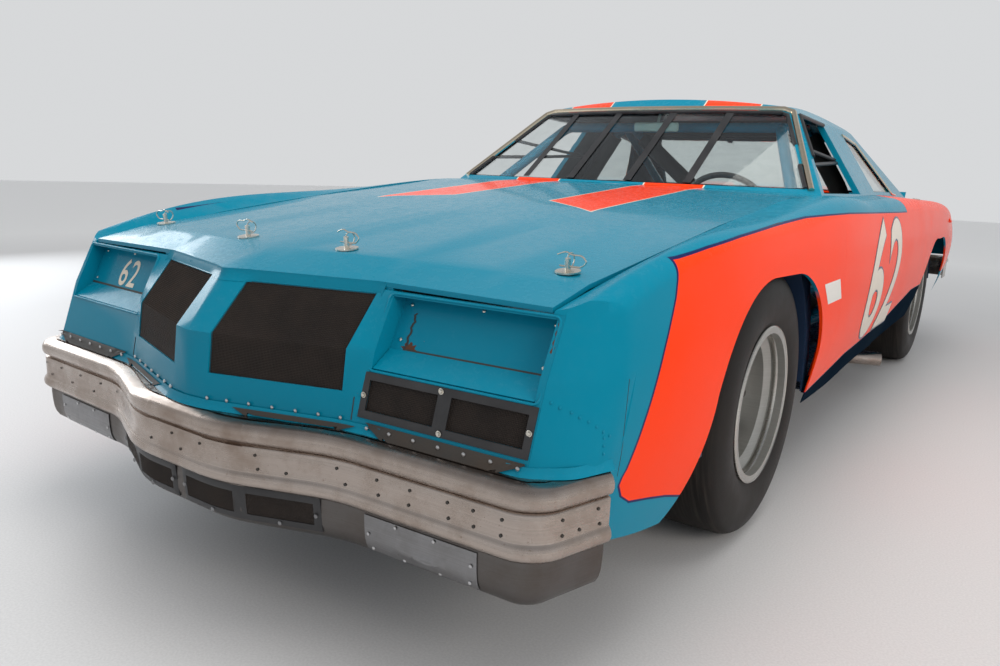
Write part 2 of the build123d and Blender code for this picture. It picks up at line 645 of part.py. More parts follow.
# Frame: side rails, front and rear clips, crossmembers, tow eyes and jack pads
SIDE_RAIL_X = 640.0
FRONT_RAIL_X = 370.0
REAR_RAIL_X = 430.0
HALF_RAIL = RAIL_WIDTH / 2
FRONT_RAIL_Z = RAIL_BOTTOM + 60
SIDE_RAIL_Z = RAIL_BOTTOM - 10
REAR_RAIL_Z = TRUNK_FLOOR - RAIL_HEIGHT
FRONT_RAIL_START = -900.0
FRONT_RAIL_END = 380.0
SIDE_RAIL_START = 640.0
SIDE_RAIL_END = 2260.0
REAR_RAIL_START = 2440.0
REAR_RAIL_END = 3900.0
MEMBER = 60.0
# Rail lengths, in columns: start y and x, end y and x, bottom z
RAIL_RUNS = [
    (FRONT_RAIL_START, FRONT_RAIL_X, FRONT_RAIL_END, FRONT_RAIL_X, FRONT_RAIL_Z),
    (FRONT_RAIL_END, FRONT_RAIL_X, SIDE_RAIL_START, SIDE_RAIL_X, RAIL_BOTTOM),
    (SIDE_RAIL_START, SIDE_RAIL_X, SIDE_RAIL_END, SIDE_RAIL_X, SIDE_RAIL_Z),
    (SIDE_RAIL_END, SIDE_RAIL_X, REAR_RAIL_START, REAR_RAIL_X, RAIL_BOTTOM),
    (REAR_RAIL_START, REAR_RAIL_X, REAR_RAIL_END, REAR_RAIL_X, REAR_RAIL_Z),
]
# Crossmembers, in columns: front y, bottom z, rail's centre x
CROSSMEMBERS = [
    (-800, FRONT_RAIL_Z, FRONT_RAIL_X),
    (-60, FRONT_RAIL_Z, FRONT_RAIL_X),
    (700, RAIL_BOTTOM, SIDE_RAIL_X),
    (2200, RAIL_BOTTOM, SIDE_RAIL_X),
    (3860, 475, REAR_RAIL_X),
]


def front_bumper_back(x):
    (inner_x, inner_y), (outer_x, outer_y) = FRONT_BUMPER_PLAN[5], FRONT_BUMPER_PLAN[6]
    path_y = inner_y + (x - inner_x) * (outer_y - inner_y) / (outer_x - inner_x)
    return path_y + BUMPER_SHEET + SEAT_GAP


rails = []
for y0, x0, y1, x1, z in RAIL_RUNS:
    outline = [(x0 - HALF_RAIL, y0), (x0 + HALF_RAIL, y0),
               (x1 + HALF_RAIL, y1 - SEAT_GAP), (x1 - HALF_RAIL, y1 - SEAT_GAP)]
    rails.append(plan_prism(outline, z, z + RAIL_HEIGHT))
front_low, front_high = FRONT_RAIL_X - HALF_RAIL, FRONT_RAIL_X + HALF_RAIL
rear_low, rear_high = REAR_RAIL_X - HALF_RAIL, REAR_RAIL_X + HALF_RAIL
rails.append(block(front_low, front_high, FRONT_RAIL_END - 80, FRONT_RAIL_END - SEAT_GAP,
                   RAIL_BOTTOM, FRONT_RAIL_Z - SEAT_GAP))
rails.append(block(rear_low, rear_high, REAR_RAIL_START, REAR_RAIL_START + 60,
                   RAIL_BOTTOM, REAR_RAIL_Z - SEAT_GAP))
bracket_base = FRONT_RAIL_Z + RAIL_HEIGHT + SEAT_GAP
rails.append(plan_prism([(front_low, -900), (front_high, -850), (470, front_bumper_back(470)),
                         (410, front_bumper_back(410))], bracket_base, 380))
rails.append(block(rear_low + 5, rear_high - 5, 3860, REAR_END - BUMPER_SHEET - SEAT_GAP,
                   410, REAR_RAIL_Z - SEAT_GAP))
JACK_PAD_BOTTOM = SIDE_RAIL_Z - 8
rails.append(block(SIDE_RAIL_X - HALF_RAIL, SIDE_RAIL_X + HALF_RAIL, 1340, 1460,
                   JACK_PAD_BOTTOM, SIDE_RAIL_Z - SEAT_GAP))
frame = rails + [mirrored(rail) for rail in rails]
for y, z, rail_x in CROSSMEMBERS:
    half = rail_x - HALF_RAIL - SEAT_GAP
    frame.append(block(-half, half, y, y + MEMBER, z, z + MEMBER))
EYE_RADIUS = 16.0
EYE_PLATE = 12.0
FRONT_EYE = (-835, 212)
REAR_EYE = (3898, 358)
for (y, z), plate in ((FRONT_EYE, block(-EYE_PLATE / 2, EYE_PLATE / 2, -870, -800 - SEAT_GAP, 185, 260)),
                      (REAR_EYE, block(-EYE_PLATE / 2, EYE_PLATE / 2, 3862, 3934, 330, 475 - SEAT_GAP))):
    frame.append(plate - Pos(0, y, z) * Rot(0, 90, 0) * Cylinder(EYE_RADIUS, 80))
write("frame_rails", Compound(children=frame))

# Engine, as one plain block at its real place
engine = block(-260, 260, -420, 420, 295 + SEAT_GAP, 720)
write("engine_block", engine)

# Fuel cell
write("fuel_cell", block(-330, 330, 3250, 3800, 300, TRUNK_FLOOR - SEAT_GAP))

# Exhaust pipes, out under both sides
PIPE_RADIUS = 34.0
pipe_z = RAIL_BOTTOM - 10 - PIPE_RADIUS - SEAT_GAP
pipe = tube_run([(230, 420 + SEAT_GAP, 340), (230, 480, 340), (300, 520, 200), (520, 700, pipe_z), (520, 1600, pipe_z),
                 (600, 1900, pipe_z), (868, 2010, pipe_z)], [20, 30, 60, 80, 80], PIPE_RADIUS)
write("exhaust_pipes", both_sides(pipe))

# Front control arms with spring towers, on each side
KINGPIN_X = 662.0


def front_arm(z, ball_x, pivot_x, thick):
    arm = plan_prism([(pivot_x, -150), (pivot_x + 40, -150), (ball_x, -26), (ball_x, 26),
                      (pivot_x + 40, 150), (pivot_x, 150), (pivot_x, 110), (ball_x - 90, 0), (pivot_x, -110)],
                     z - thick / 2, z + thick / 2)
    return arm


LOWER_ARM_Z = 232.0
UPPER_ARM_Z = 480.0
ARM_THICKNESS = 24.0
BALL_RADIUS = 22.0
lower_arm = front_arm(LOWER_ARM_Z, 640, 400.3, ARM_THICKNESS)
upper_arm = front_arm(UPPER_ARM_Z, 630, 400.3, ARM_THICKNESS)
for z in (LOWER_ARM_Z, UPPER_ARM_Z):
    lower_arm += Pos(KINGPIN_X, 0, z) * Cylinder(BALL_RADIUS, ARM_THICKNESS)
lower_arm += block(620, KINGPIN_X, -BALL_RADIUS, BALL_RADIUS, LOWER_ARM_Z - 12, LOWER_ARM_Z + 12)
upper_arm += block(620, KINGPIN_X, -BALL_RADIUS, BALL_RADIUS, UPPER_ARM_Z - 12, UPPER_ARM_Z + 12)
spring = Pos(470, 0, 245 + 110) * (Cylinder(52, 220) - Cylinder(40, 220))
tower = block(400.3, 440, -60, 60, 325, 560) + block(400.3, 424, -160, 160, UPPER_ARM_Z - 12, UPPER_ARM_Z + 12)
suspension = lower_arm + upper_arm + spring + tower
write("front_control_arms", both_sides(suspension))

# Knuckles: upright, spindle, hub and brake disc
knuckle = tube((KINGPIN_X, 0, LOWER_ARM_Z + ARM_THICKNESS / 2 + SEAT_GAP),
               (KINGPIN_X, 0, UPPER_ARM_Z - ARM_THICKNESS / 2 - SEAT_GAP), 22)
knuckle += Pos(KINGPIN_X + 20, 0, AXLE_HEIGHT) * Rot(0, 90, 0) * Cylinder(45, 60)
knuckle += Pos(KINGPIN_X + 34, 0, AXLE_HEIGHT) * Rot(0, 90, 0) * Cylinder(DISC_RADIUS, 22)
knuckle += tube((KINGPIN_X + 40, 0, AXLE_HEIGHT), (WHEEL_CENTRE_X + 28, 0, AXLE_HEIGHT),
                SPINDLE_RADIUS)
knuckle += block(KINGPIN_X - 20, KINGPIN_X + 20, 0, 130, 300, 325)
write("left_knuckle", knuckle)
write("right_knuckle", mirrored(knuckle))


# Wheels: deep steel rim and smooth tyre, turned about the axle
def rim_solid():
    b, w, s = RIM_BEAD_RADIUS, RIM_HALF_WIDTH, RIM_SHEET
    lip = RIM_LIP_RADIUS
    well = b - RIM_WELL_DROP
    bore = SPINDLE_RADIUS + SPINDLE_FIT
    weld = well - s + 0.5
    barrel = [
        (-w, lip), (-w + s, lip), (-w + s, b), (-w + 30, b), (-w + 44, well), (w - 60, well), (w - 44, b),
        (w - s, b), (w - s, lip), (w, lip), (w, b - s), (w - 40, b - s), (w - 56, well - s),
        (-w + 40, well - s), (-w + 26, b - s), (-w, b - s),
    ]
    rim = revolve(make_face(Polyline(*barrel, close=True)), axis=Axis.X)
    face = [(-10, bore), (40, bore), (40, HUB_RADIUS), (26, 90), (34, 128), (10, weld),
            (4, weld), (26, 126), (16, 88), (28, HUB_RADIUS), (-10, HUB_RADIUS - 8)]
    centre = revolve(make_face(Polyline(*face, close=True)), axis=Axis.X)
    for index in range(LUG_COUNT):
        angle = 2 * math.pi * index / LUG_COUNT
        y, z = LUG_CIRCLE_RADIUS * math.cos(angle), LUG_CIRCLE_RADIUS * math.sin(angle)
        centre += Pos(30, y, z) * Rot(0, 90, 0) * Cylinder(11, 22)
        between = angle + math.pi / LUG_COUNT
        y, z = VENT_CIRCLE_RADIUS * math.cos(between), VENT_CIRCLE_RADIUS * math.sin(between)
        centre -= Pos(22, y, z) * Rot(0, 90, 0) * Cylinder(VENT_RADIUS, 60)
    return rim + centre


def tyre_solid():
    w = TYRE_WIDTH / 2
    r = TYRE_RADIUS
    bead = RIM_BEAD_RADIUS + SEAT_GAP
    inner = RIM_HALF_WIDTH - RIM_SHEET - SEAT_GAP
    foot, bulge = RIM_LIP_RADIUS + 4, RIM_LIP_RADIUS + 60
    side, edge = r - 32, r - 10
    edges = [
        Line((-inner, bead), (-inner, foot)),
        ThreePointArc((-inner, foot), (-w, bulge), (-w + 12, side)),
        ThreePointArc((-w + 12, side), (-w + 30, edge), (-w + 62, r - 2)),
        ThreePointArc((-w + 62, r - 2), (0, r), (w - 62, r - 2)),
        ThreePointArc((w - 62, r - 2), (w - 30, edge), (w - 12, side)),
        ThreePointArc((w - 12, side), (w, bulge), (inner, foot)),
        Line((inner, foot), (inner, bead)),
        Line((inner, bead), (-inner, bead)),
    ]
    return revolve(make_face(Curve() + edges), axis=Axis.X)


rim = rim_solid()
tyre = tyre_solid()
for name, y in (("front", 0.0), ("rear", REAR_AXLE)):
    place = Location((WHEEL_CENTRE_X, y, AXLE_HEIGHT))
    write(name + "_left_rim", rim.moved(place))
    write(name + "_left_tyre", tyre.moved(place))
    write(name + "_right_rim", mirrored(rim.moved(place)))
    write(name + "_right_tyre", mirrored(tyre.moved(place)))

# Rear axle with its housing, brake drums and trailing arms
AXLE_TUBE_RADIUS = 42.0
DRUM_RADIUS = 140.0
HOUSING_RADIUS = 138.0
SPINDLE_END = WHEEL_CENTRE_X + 28
DRUM_OUTER_X = WHEEL_CENTRE_X - 16
DRUM_INNER_X = WHEEL_CENTRE_X - 76
# Half outline of the axle, in columns x and radius
axle_half = [(SPINDLE_END, 0), (SPINDLE_END, SPINDLE_RADIUS), (DRUM_OUTER_X, SPINDLE_RADIUS),
             (DRUM_OUTER_X, DRUM_RADIUS), (DRUM_INNER_X, DRUM_RADIUS), (DRUM_INNER_X, AXLE_TUBE_RADIUS),
             (150, AXLE_TUBE_RADIUS), (100, 118), (45, HOUSING_RADIUS)]
axle_outline = axle_half + [(-x, radius) for x, radius in reversed(axle_half)]
axle = revolve(make_face(Polyline(*axle_outline, close=True)), axis=Axis.X)
axle = Pos(0, REAR_AXLE, AXLE_HEIGHT) * axle
trailing_arm = block(rear_high + SEAT_GAP, rear_high + 40, REAR_RAIL_START,
                     REAR_AXLE - AXLE_TUBE_RADIUS - SEAT_GAP, AXLE_HEIGHT - 30, AXLE_HEIGHT + 20)
write("rear_axle", Compound(children=[axle, trailing_arm, mirrored(trailing_arm)]))

# Roll cage of bent tubes
CAGE_FOOT = FLOOR_HEIGHT + FLOOR_SHEET + SEAT_GAP
HOOP_Y = 1700.0
HOOP_X = 680.0
HOOP_TOP = 1203.0
HEADER_Y = 1200.0
HEADER_Z = 1172.0
leg_foot = (660, 640, CAGE_FOOT)
leg_knee = (690, 820, 860)


def leg_point(z):
    share = (z - leg_foot[2]) / (leg_knee[2] - leg_foot[2])
    return tuple(leg_foot[k] + share * (leg_knee[k] - leg_foot[k]) for k in range(3))


cage = tube_run([(-HOOP_X, HOOP_Y, CAGE_FOOT), (-HOOP_X, HOOP_Y, 880), (-470, HOOP_Y, HOOP_TOP), (470, HOOP_Y, HOOP_TOP),
                 (HOOP_X, HOOP_Y, 880), (HOOP_X, HOOP_Y, CAGE_FOOT)], [120, 110, 110, 120], TUBE_RADIUS)
for side in (-1, 1):
    leg = [(side * x, y, z) for x, y, z in (leg_foot, leg_knee, (500, HEADER_Y, HEADER_Z), (470, HOOP_Y, HOOP_TOP))]
    cage += tube_run(leg, [120, 120], TUBE_RADIUS)
    for z in (380, 520, 660):
        x0, y0, z0 = leg_point(z)
        cage += tube((side * x0, y0, z0), (side * HOOP_X, HOOP_Y, z), DOOR_BAR_RADIUS)
    cage += tube((side * 440, HOOP_Y, HOOP_TOP), (side * 430, 2760, 590), CROSS_TUBE_RADIUS)
cage += tube((-500, HEADER_Y, HEADER_Z), (500, HEADER_Y, HEADER_Z), CROSS_TUBE_RADIUS)
cage += tube((-HOOP_X, HOOP_Y, 820), (HOOP_X, HOOP_Y, 820), CROSS_TUBE_RADIUS)
bar_x, bar_y, bar_z = leg_point(620)
cage += tube((-bar_x, bar_y, bar_z), (bar_x, bar_y, bar_z), CROSS_TUBE_RADIUS)
cage += tube((HOOP_X - 20, HOOP_Y, 320), (-400, HOOP_Y, HOOP_TOP), CROSS_TUBE_RADIUS)
cage -= block(-800, 800, 500, 1800, CAGE_FOOT - 60, CAGE_FOOT)
write("roll_cage", cage)

# Driver's seat, on the left
SEAT_X = 360.0
seat = side_prism([(1150, 330), (1520, 300), (1640, 860), (1600, 900), (1570, 880), (1470, 400), (1160, 420)],
                  SEAT_X - 250, SEAT_X + 250)
seat -= side_prism([(1100, 385), (1455, 365), (1590, 870), (1400, 950), (1100, 700)], SEAT_X - 200, SEAT_X + 200)
seat += block(SEAT_X - 200, SEAT_X + 200, 1200, 1500, FLOOR_HEIGHT + FLOOR_SHEET + SEAT_GAP, 330)
write("driver_seat", seat)

# Dashboard with the steering column
dash = side_prism([(FIREWALL_Y, FIREWALL_TOP), (880, 880), (905, 760), (885, 760), (862, 868),
                   (FIREWALL_Y, FIREWALL_TOP - 12)], -640, 640)
for index in range(5):
    dash += Pos(SEAT_X - 180 + 90 * index, 890, 820) * Rot(100, 0, 0) * Cylinder(34, 16)
column = tube((SEAT_X, 571, 612), (SEAT_X, 1035, 800), 22)
dash += column
write("dashboard", dash)

# Steering wheel, square to its column
COLUMN_TILT = math.degrees(math.atan2(160, 395))
wheel_place = Location((SEAT_X, 1042, 803)) * Location((0, 0, 0), (-90 + COLUMN_TILT, 0, 0))
steer = Torus(185, 12)
steer += Pos(0, 0, 0) * Cylinder(40, 14)
for angle in (90, 210, 330):
    steer += Rot(0, 0, angle) * Pos(110, 0, 0) * Box(150, 30, 6)
write("steering_wheel", steer.moved(wheel_place))

# Mirror
mirror_body = block(-190, 190, 1090, 1108, 1124, 1178)
mirror_body += block(-16, 16, 1108, HEADER_Y - CROSS_TUBE_RADIUS - SEAT_GAP, HEADER_Z - 3, HEADER_Z + 3)
write("mirror", mirror_body)
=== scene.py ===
# %% [markdown]
# # A stock car of the late 1970s
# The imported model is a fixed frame: every panel, tube and wheel already has its real size and place in metres.
# This lesson gives those solids their finishes, and models by hand what is too fine for them: woven screens,
# trims, rivets, hood pin clips, wheel flanges, numbers, gauges and the pads of the driver's seat.

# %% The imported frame
import json
import math
import bpy
from mathutils import Matrix, Vector
from mathutils.bvhtree import BVHTree

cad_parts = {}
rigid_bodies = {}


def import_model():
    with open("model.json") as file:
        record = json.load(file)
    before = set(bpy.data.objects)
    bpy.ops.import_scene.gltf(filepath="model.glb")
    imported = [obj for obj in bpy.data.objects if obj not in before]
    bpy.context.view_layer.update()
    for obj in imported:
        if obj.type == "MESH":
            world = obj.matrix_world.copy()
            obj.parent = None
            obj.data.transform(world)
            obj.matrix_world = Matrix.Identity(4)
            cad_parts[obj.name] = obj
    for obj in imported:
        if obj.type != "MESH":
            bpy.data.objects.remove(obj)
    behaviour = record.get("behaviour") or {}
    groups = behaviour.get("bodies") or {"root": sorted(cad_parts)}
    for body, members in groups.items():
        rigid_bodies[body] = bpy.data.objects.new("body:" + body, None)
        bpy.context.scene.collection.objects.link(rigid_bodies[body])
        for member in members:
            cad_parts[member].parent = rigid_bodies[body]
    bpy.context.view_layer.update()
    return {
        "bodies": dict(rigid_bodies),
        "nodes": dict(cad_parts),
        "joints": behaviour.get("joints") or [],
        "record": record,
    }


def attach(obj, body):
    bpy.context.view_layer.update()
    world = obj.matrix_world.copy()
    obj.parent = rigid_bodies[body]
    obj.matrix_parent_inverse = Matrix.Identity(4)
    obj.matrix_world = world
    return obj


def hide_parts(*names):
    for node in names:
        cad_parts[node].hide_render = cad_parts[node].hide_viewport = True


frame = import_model()
nodes = frame["nodes"]
FRONT_AXLE_Y = -1.439
REAR_AXLE_Y = FRONT_AXLE_Y + 2.921
BODY_LIFT = 0.028
AXLE_Z = 0.347 + BODY_LIFT
WHEEL_X = 0.747

# %% [markdown]
# ## The camera
# It comes first, because every finish is seen through it. A wide 28 mm lens stands a little over a metre from the
# front left corner, just above the hood, and leans slightly to one side, as a hand-held camera does.

# %% Camera
LENS_MM = 28.034
CAMERA_PLACE = Vector((1.460, -3.568, 0.969))
CAMERA_TURN, CAMERA_DIP, CAMERA_ROLL = 0.60581, 0.20079, 0.04252

ahead = Vector((-math.sin(CAMERA_TURN) * math.cos(CAMERA_DIP),
                math.cos(CAMERA_TURN) * math.cos(CAMERA_DIP), -math.sin(CAMERA_DIP)))
level_right = ahead.cross(Vector((0, 0, 1))).normalized()
level_up = level_right.cross(ahead)
camera_right = level_right * math.cos(CAMERA_ROLL) + level_up * math.sin(CAMERA_ROLL)
camera_up = level_up * math.cos(CAMERA_ROLL) - level_right * math.sin(CAMERA_ROLL)

bpy.ops.object.select_all(action="DESELECT")
bpy.ops.object.camera_add()
camera = bpy.context.object
camera.name = "camera"
camera.data.lens = LENS_MM
camera.data.sensor_width = 36.0
turn = Matrix((camera_right, camera_up, -ahead)).transposed().to_4x4()
camera.matrix_world = Matrix.Translation(CAMERA_PLACE) @ turn
bpy.context.scene.camera = camera
bpy.context.scene.view_settings.view_transform = "Standard"
print("camera at", [round(c, 3) for c in CAMERA_PLACE], "looking along", [round(c, 2) for c in ahead])

# %% [markdown]
# ## Small tools for materials
# A material is a tree of nodes. A Value is one output in such a tree that can be added, subtracted and multiplied as if
# it were a number, so that a recipe below reads as plain arithmetic.

# %% Values that reckon like numbers
class Value:
    def __init__(self, tree, socket):
        self.tree, self.socket = tree, socket

    def __add__(self, other):
        return calc("ADD", self, other)

    def __sub__(self, other):
        return calc("SUBTRACT", self, other)

    def __rsub__(self, other):
        return calc("SUBTRACT", other, self)

    def __mul__(self, other):
        return calc("MULTIPLY", self, other)

    def __abs__(self):
        return calc("ABSOLUTE", self)

    __radd__ = __add__


def plug(value, socket):
    if isinstance(value, Value):
        value.tree.links.new(value.socket, socket)
    else:
        socket.default_value = value


def add_node(tree, kind, inputs=None, **settings):
    made = tree.nodes.new("ShaderNode" + kind)
    for key, value in settings.items():
        setattr(made, key, value)
    for key, value in (inputs or {}).items():
        plug(value, made.inputs[key])
    return made


def read(tree, kind, output):
    return Value(tree, tree.nodes.new("ShaderNode" + kind).outputs[output])


def calc(operation, *terms):
    tree = next(term.tree for term in terms if isinstance(term, Value))
    return Value(tree, add_node(tree, "Math", dict(enumerate(terms)), operation=operation).outputs[0])


def least(first, *others):
    for other in others:
        first = calc("MINIMUM", first, other)
    return first


def most(first, *others):
    for other in others:
        first = calc("MAXIMUM", first, other)
    return first


print("values ready")

# %% [markdown]
# Each of these helpers adds one node. A group is a small tree of its own that several materials share, and every
# material ends with a colour, a roughness and a fine relief on one shader.

# %% Node helpers
def blend_colour(share, low, high):
    made = add_node(share.tree, "Mix", {0: share, 6: low, 7: high}, data_type="RGBA")
    return Value(share.tree, made.outputs[2])


def step_up(value, low, high, bottom=0.0, top=1.0):
    made = add_node(value.tree, "MapRange", {"Value": value, "From Min": low, "From Max": high,
                                             "To Min": bottom, "To Max": top}, clamp=True)
    return Value(value.tree, made.outputs[0])


def noise(vector, scale, detail=3.0, roughness=0.5):
    made = add_node(vector.tree, "TexNoise", {"Vector": vector, "Scale": scale, "Detail": detail,
                                              "Roughness": roughness})
    return Value(vector.tree, made.outputs["Fac"])


def stretched(vector, scale, rotation=(0, 0, 0)):
    made = add_node(vector.tree, "Mapping", {"Vector": vector, "Scale": scale, "Rotation": rotation})
    return Value(vector.tree, made.outputs[0])


def axes(vector):
    return [Value(vector.tree, part) for part in add_node(vector.tree, "SeparateXYZ", {0: vector}).outputs]


def new_group(name, **inputs):
    tree = bpy.data.node_groups.new(name, "ShaderNodeTree")
    kinds = {type(None): "Vector", tuple: "Color", float: "Float"}
    for label, value in inputs.items():
        socket = tree.interface.new_socket(label, in_out="INPUT", socket_type="NodeSocket" + kinds[type(value)])
        if value is not None:
            socket.default_value = value
    source = tree.nodes.new("NodeGroupInput").outputs
    return [tree] + [Value(tree, source[label]) for label in inputs]


def close_group(tree, **results):
    for label in results:
        kind = "Color" if label == "Colour" else "Float"
        tree.interface.new_socket(label, in_out="OUTPUT", socket_type="NodeSocket" + kind)
    ending = tree.nodes.new("NodeGroupOutput")
    for label, value in results.items():
        plug(value, ending.inputs[label])


def use_group(group, **inputs):
    tree = inputs["Vector"].tree
    made = tree.nodes.new("ShaderNodeGroup")
    made.node_tree = group
    for label, value in inputs.items():
        plug(value, made.inputs[label])
    return {part.name: Value(tree, part) for part in made.outputs}


def new_material(name, **sockets):
    material = bpy.data.materials.new(name)
    material.use_nodes = True
    shader = material.node_tree.nodes["Principled BSDF"]
    for key, value in sockets.items():
        shader.inputs[key.replace("_", " ")].default_value = value
    return material, shader, read(material.node_tree, "TexCoord", "Object")


def finish_shader(shader, colour, roughness, height, distance):
    plug(colour, shader.inputs["Base Color"])
    plug(roughness, shader.inputs["Roughness"])
    relief = add_node(height.tree, "Bump", {"Height": height, "Distance": distance, "Strength": 1.0})
    plug(Value(height.tree, relief.outputs[0]), shader.inputs["Normal"])


print("node helpers ready")

# %% [markdown]
# ## Stage and light
# A pale floor that turns white far out and a pale surround, lit by three broad lamps and the sky. Together they light a
# white card to about white, so that a colour looks as it is written.

# %% Stage and lamps
WHITE_FROM, WHITE_AT = 4.0, 9.0
SKY_LIGHT, SKY_SEEN = 0.58, 0.70

bpy.ops.mesh.primitive_plane_add(size=60)
floor = bpy.context.object
floor.name = "studio_floor"
material, shader, vector = new_material("studio_floor_paint", Roughness=0.55)
far_x, far_y, _ = axes(vector)
distance = calc("SQRT", far_x * far_x + far_y * far_y)
tone = blend_colour(step_up(noise(vector, 180.0, 4.0), 0.35, 0.65), (0.60, 0.60, 0.61, 1), (0.66, 0.66, 0.67, 1))
plug(blend_colour(step_up(distance, WHITE_FROM, WHITE_AT), tone, (1.0, 1.0, 1.0, 1)), shader.inputs["Base Color"])
floor.data.materials.append(material)

world = bpy.data.worlds.new("studio_sky")
bpy.context.scene.world = world
world.use_nodes = True
tree = world.node_tree
background = tree.nodes["Background"]
seen = most(*[read(tree, "LightPath", "Is %s Ray" % kind) for kind in ("Camera", "Glossy", "Transmission")])
rise = axes(read(tree, "TexCoord", "Generated"))[2]
gloss = step_up(rise, 0.10, 0.85) * read(tree, "LightPath", "Is Glossy Ray")
plug(blend_colour(gloss, (0.97, 0.985, 1.0, 1), (0.42, 0.44, 0.47, 1)), background.inputs["Color"])
plug(SKY_LIGHT + seen * (SKY_SEEN - SKY_LIGHT), background.inputs["Strength"])

LAMPS = [
    ("overhead_lamp", (0.6, -1.2, 4.6), (0.0, -0.6, 0.6), 3.6, 122.0, (1.0, 0.97, 0.92), False),
    ("left_front_lamp", (5.4, -3.4, 2.7), (0.6, -0.8, 0.5), 2.4, 108.0, (1.0, 0.93, 0.85), False),
    ("right_window_lamp", (-6.0, -1.5, 2.6), (-0.4, -1.2, 0.7), 3.4, 130.0, (0.93, 0.97, 1.0), True),
]
for name, place, aim, size, power, colour, mirrored in LAMPS:
    bpy.ops.object.light_add(type="AREA", location=place)
    lamp = bpy.context.object
    lamp.name = name
    lamp.data.size = size
    lamp.data.energy = power
    lamp.data.color = colour
    lamp.visible_glossy = mirrored
    lamp.rotation_euler = (Vector(aim) - Vector(place)).to_track_quat("-Z", "Y").to_euler()
print(len(LAMPS), "lamps and a sky of strength", SKY_LIGHT)

# %% [markdown]
# ## The two-colour paint
# The car is cyan blue with a red-orange field along each side, edged by a thin navy line. The field's outline is drawn
# as three curves of height or length, measured from the front axle, and the distance to the nearest of them says
# whether a point is orange, navy or blue. Under the field, between the wheels, the sill gets painted shade: near black
# and without gloss. One group holds this, so that the line runs on from panel to panel.

# %% Orange side field
FIELD_TOP = [(-0.95, 0.772), (-0.652, 0.793), (-0.519, 0.808), (-0.330, 0.824), (-0.061, 0.841), (0.224, 0.857),
             (0.442, 0.861), (0.671, 0.863), (1.118, 0.858), (1.644, 0.853), (2.7, 0.850)]
FIELD_BOTTOM = [(-1.00, 0.374), (-0.900, 0.353), (-0.835, 0.339), (-0.759, 0.322), (-0.673, 0.300), (-0.58, 0.270),
                (0.30, 0.262), (0.488, 0.293), (0.906, 0.345), (1.141, 0.350), (1.317, 0.360), (1.555, 0.368),
                (2.207, 0.464), (4.2, 0.475)]
FIELD_FRONT = [(0.25, -0.80), (0.339, -0.835), (0.362, -0.872), (0.388, -0.887), (0.402, -0.879), (0.415, -0.866),
               (0.463, -0.836), (0.543, -0.791), (0.629, -0.746), (0.719, -0.698), (0.757, -0.685), (0.95, -0.60)]
FIELD_FRONT_LEAN = 0.7
REAR_FIELD_START = 1.80
FIELD_INNER = 0.815
SILL_FROM, SILL_TO = 0.28, 2.62

BLUE = (0.0, 0.215, 0.335, 1)
ORANGE = (1.0, 0.048, 0.001, 1)
NAVY = (0.007, 0.012, 0.085, 1)
CREAM = (0.78, 0.70, 0.58, 1)
# Painted shade: the near-black colour of the sill under the side field, between the wheels.
SILL_PAINTED_SHADE = (0.006, 0.014, 0.026, 1)
LINE_HALF_WIDTH = 0.0026
EDGE_BLUR = 0.0007


def outline_curve(value, points):
    low, high = points[0][0], points[-1][0]
    bottom = min(p[1] for p in points) - 0.01
    span = max(p[1] for p in points) + 0.01 - bottom
    made = add_node(value.tree, "FloatCurve", {"Value": step_up(value, low, high)})
    curve = made.mapping.curves[0]
    places = [((p[0] - low) / (high - low), (p[1] - bottom) / span) for p in points]
    curve.points[0].location = places[0]
    curve.points[1].location = places[-1]
    for place in places[1:-1]:
        curve.points.new(*place)
    for point in curve.points:
        point.handle_type = "VECTOR"
    made.mapping.update()
    return Value(value.tree, made.outputs[0]) * span + bottom


def field_and_line(inside):
    return {"Field": step_up(inside, -EDGE_BLUR, EDGE_BLUR),
            "Line": step_up(abs(inside), LINE_HALF_WIDTH + EDGE_BLUR, LINE_HALF_WIDTH - EDGE_BLUR)}


side_group, vector = new_group("side_field", Vector=None)
x, y, z = axes(vector)
height = z - BODY_LIFT
along = y - FRONT_AXLE_Y
behind_start = along - REAR_FIELD_START
under_top = outline_curve(along, FIELD_TOP) - height
over_bottom = height - outline_curve(along, FIELD_BOTTOM)
behind_front = (along - outline_curve(height, FIELD_FRONT)) * FIELD_FRONT_LEAN
inside = least(most(under_top, behind_start), most(abs(x) - FIELD_INNER, behind_start), over_bottom, behind_front)
# The sill mask says where painted shade goes: under the field and between the wheels.
between_wheels = least(step_up(along, SILL_FROM, SILL_FROM + 0.01), step_up(along, SILL_TO, SILL_TO - 0.01))
close_group(side_group, **field_and_line(inside), Sill=least(between_wheels, step_up(over_bottom, 0.001, -0.001)))
print("side field runs from", FIELD_FRONT[3][1], "m to the tail, measured from the front axle")

# %% [markdown]
# Two orange bands run over the hood, the roof and the deck lid. They are straight in plan, so only the distance from
# the centre line matters. On the hood they lie closer together, and stop short of the nose with a slanting end.

# %% Orange top bands
BAND_INNER, BAND_OUTER = 0.215, 0.437
BAND_START, BAND_SLANT = -0.19, 0.62
HOOD_SHIFT = 0.030

band_group, vector = new_group("top_bands", Vector=None)
x, y, _ = axes(vector)
along = y - FRONT_AXLE_Y
across = abs(x) + step_up(along, 0.72, 0.70, 0.0, HOOD_SHIFT)
behind_end = along - (BAND_START - (across - BAND_OUTER) * BAND_SLANT)
close_group(band_group, **field_and_line(least(across - BAND_INNER, BAND_OUTER - across, behind_end)))
print("bands from", BAND_INNER, "to", BAND_OUTER, "m off the centre line")

# %% [markdown]
# ## The paint film
# Old racing paint is glossy but not new: it has a slight orange-peel ripple, hairline scratches, a little dust where
# it faces up, and small chips that show grey primer or rust. One group turns a clean colour into that film.

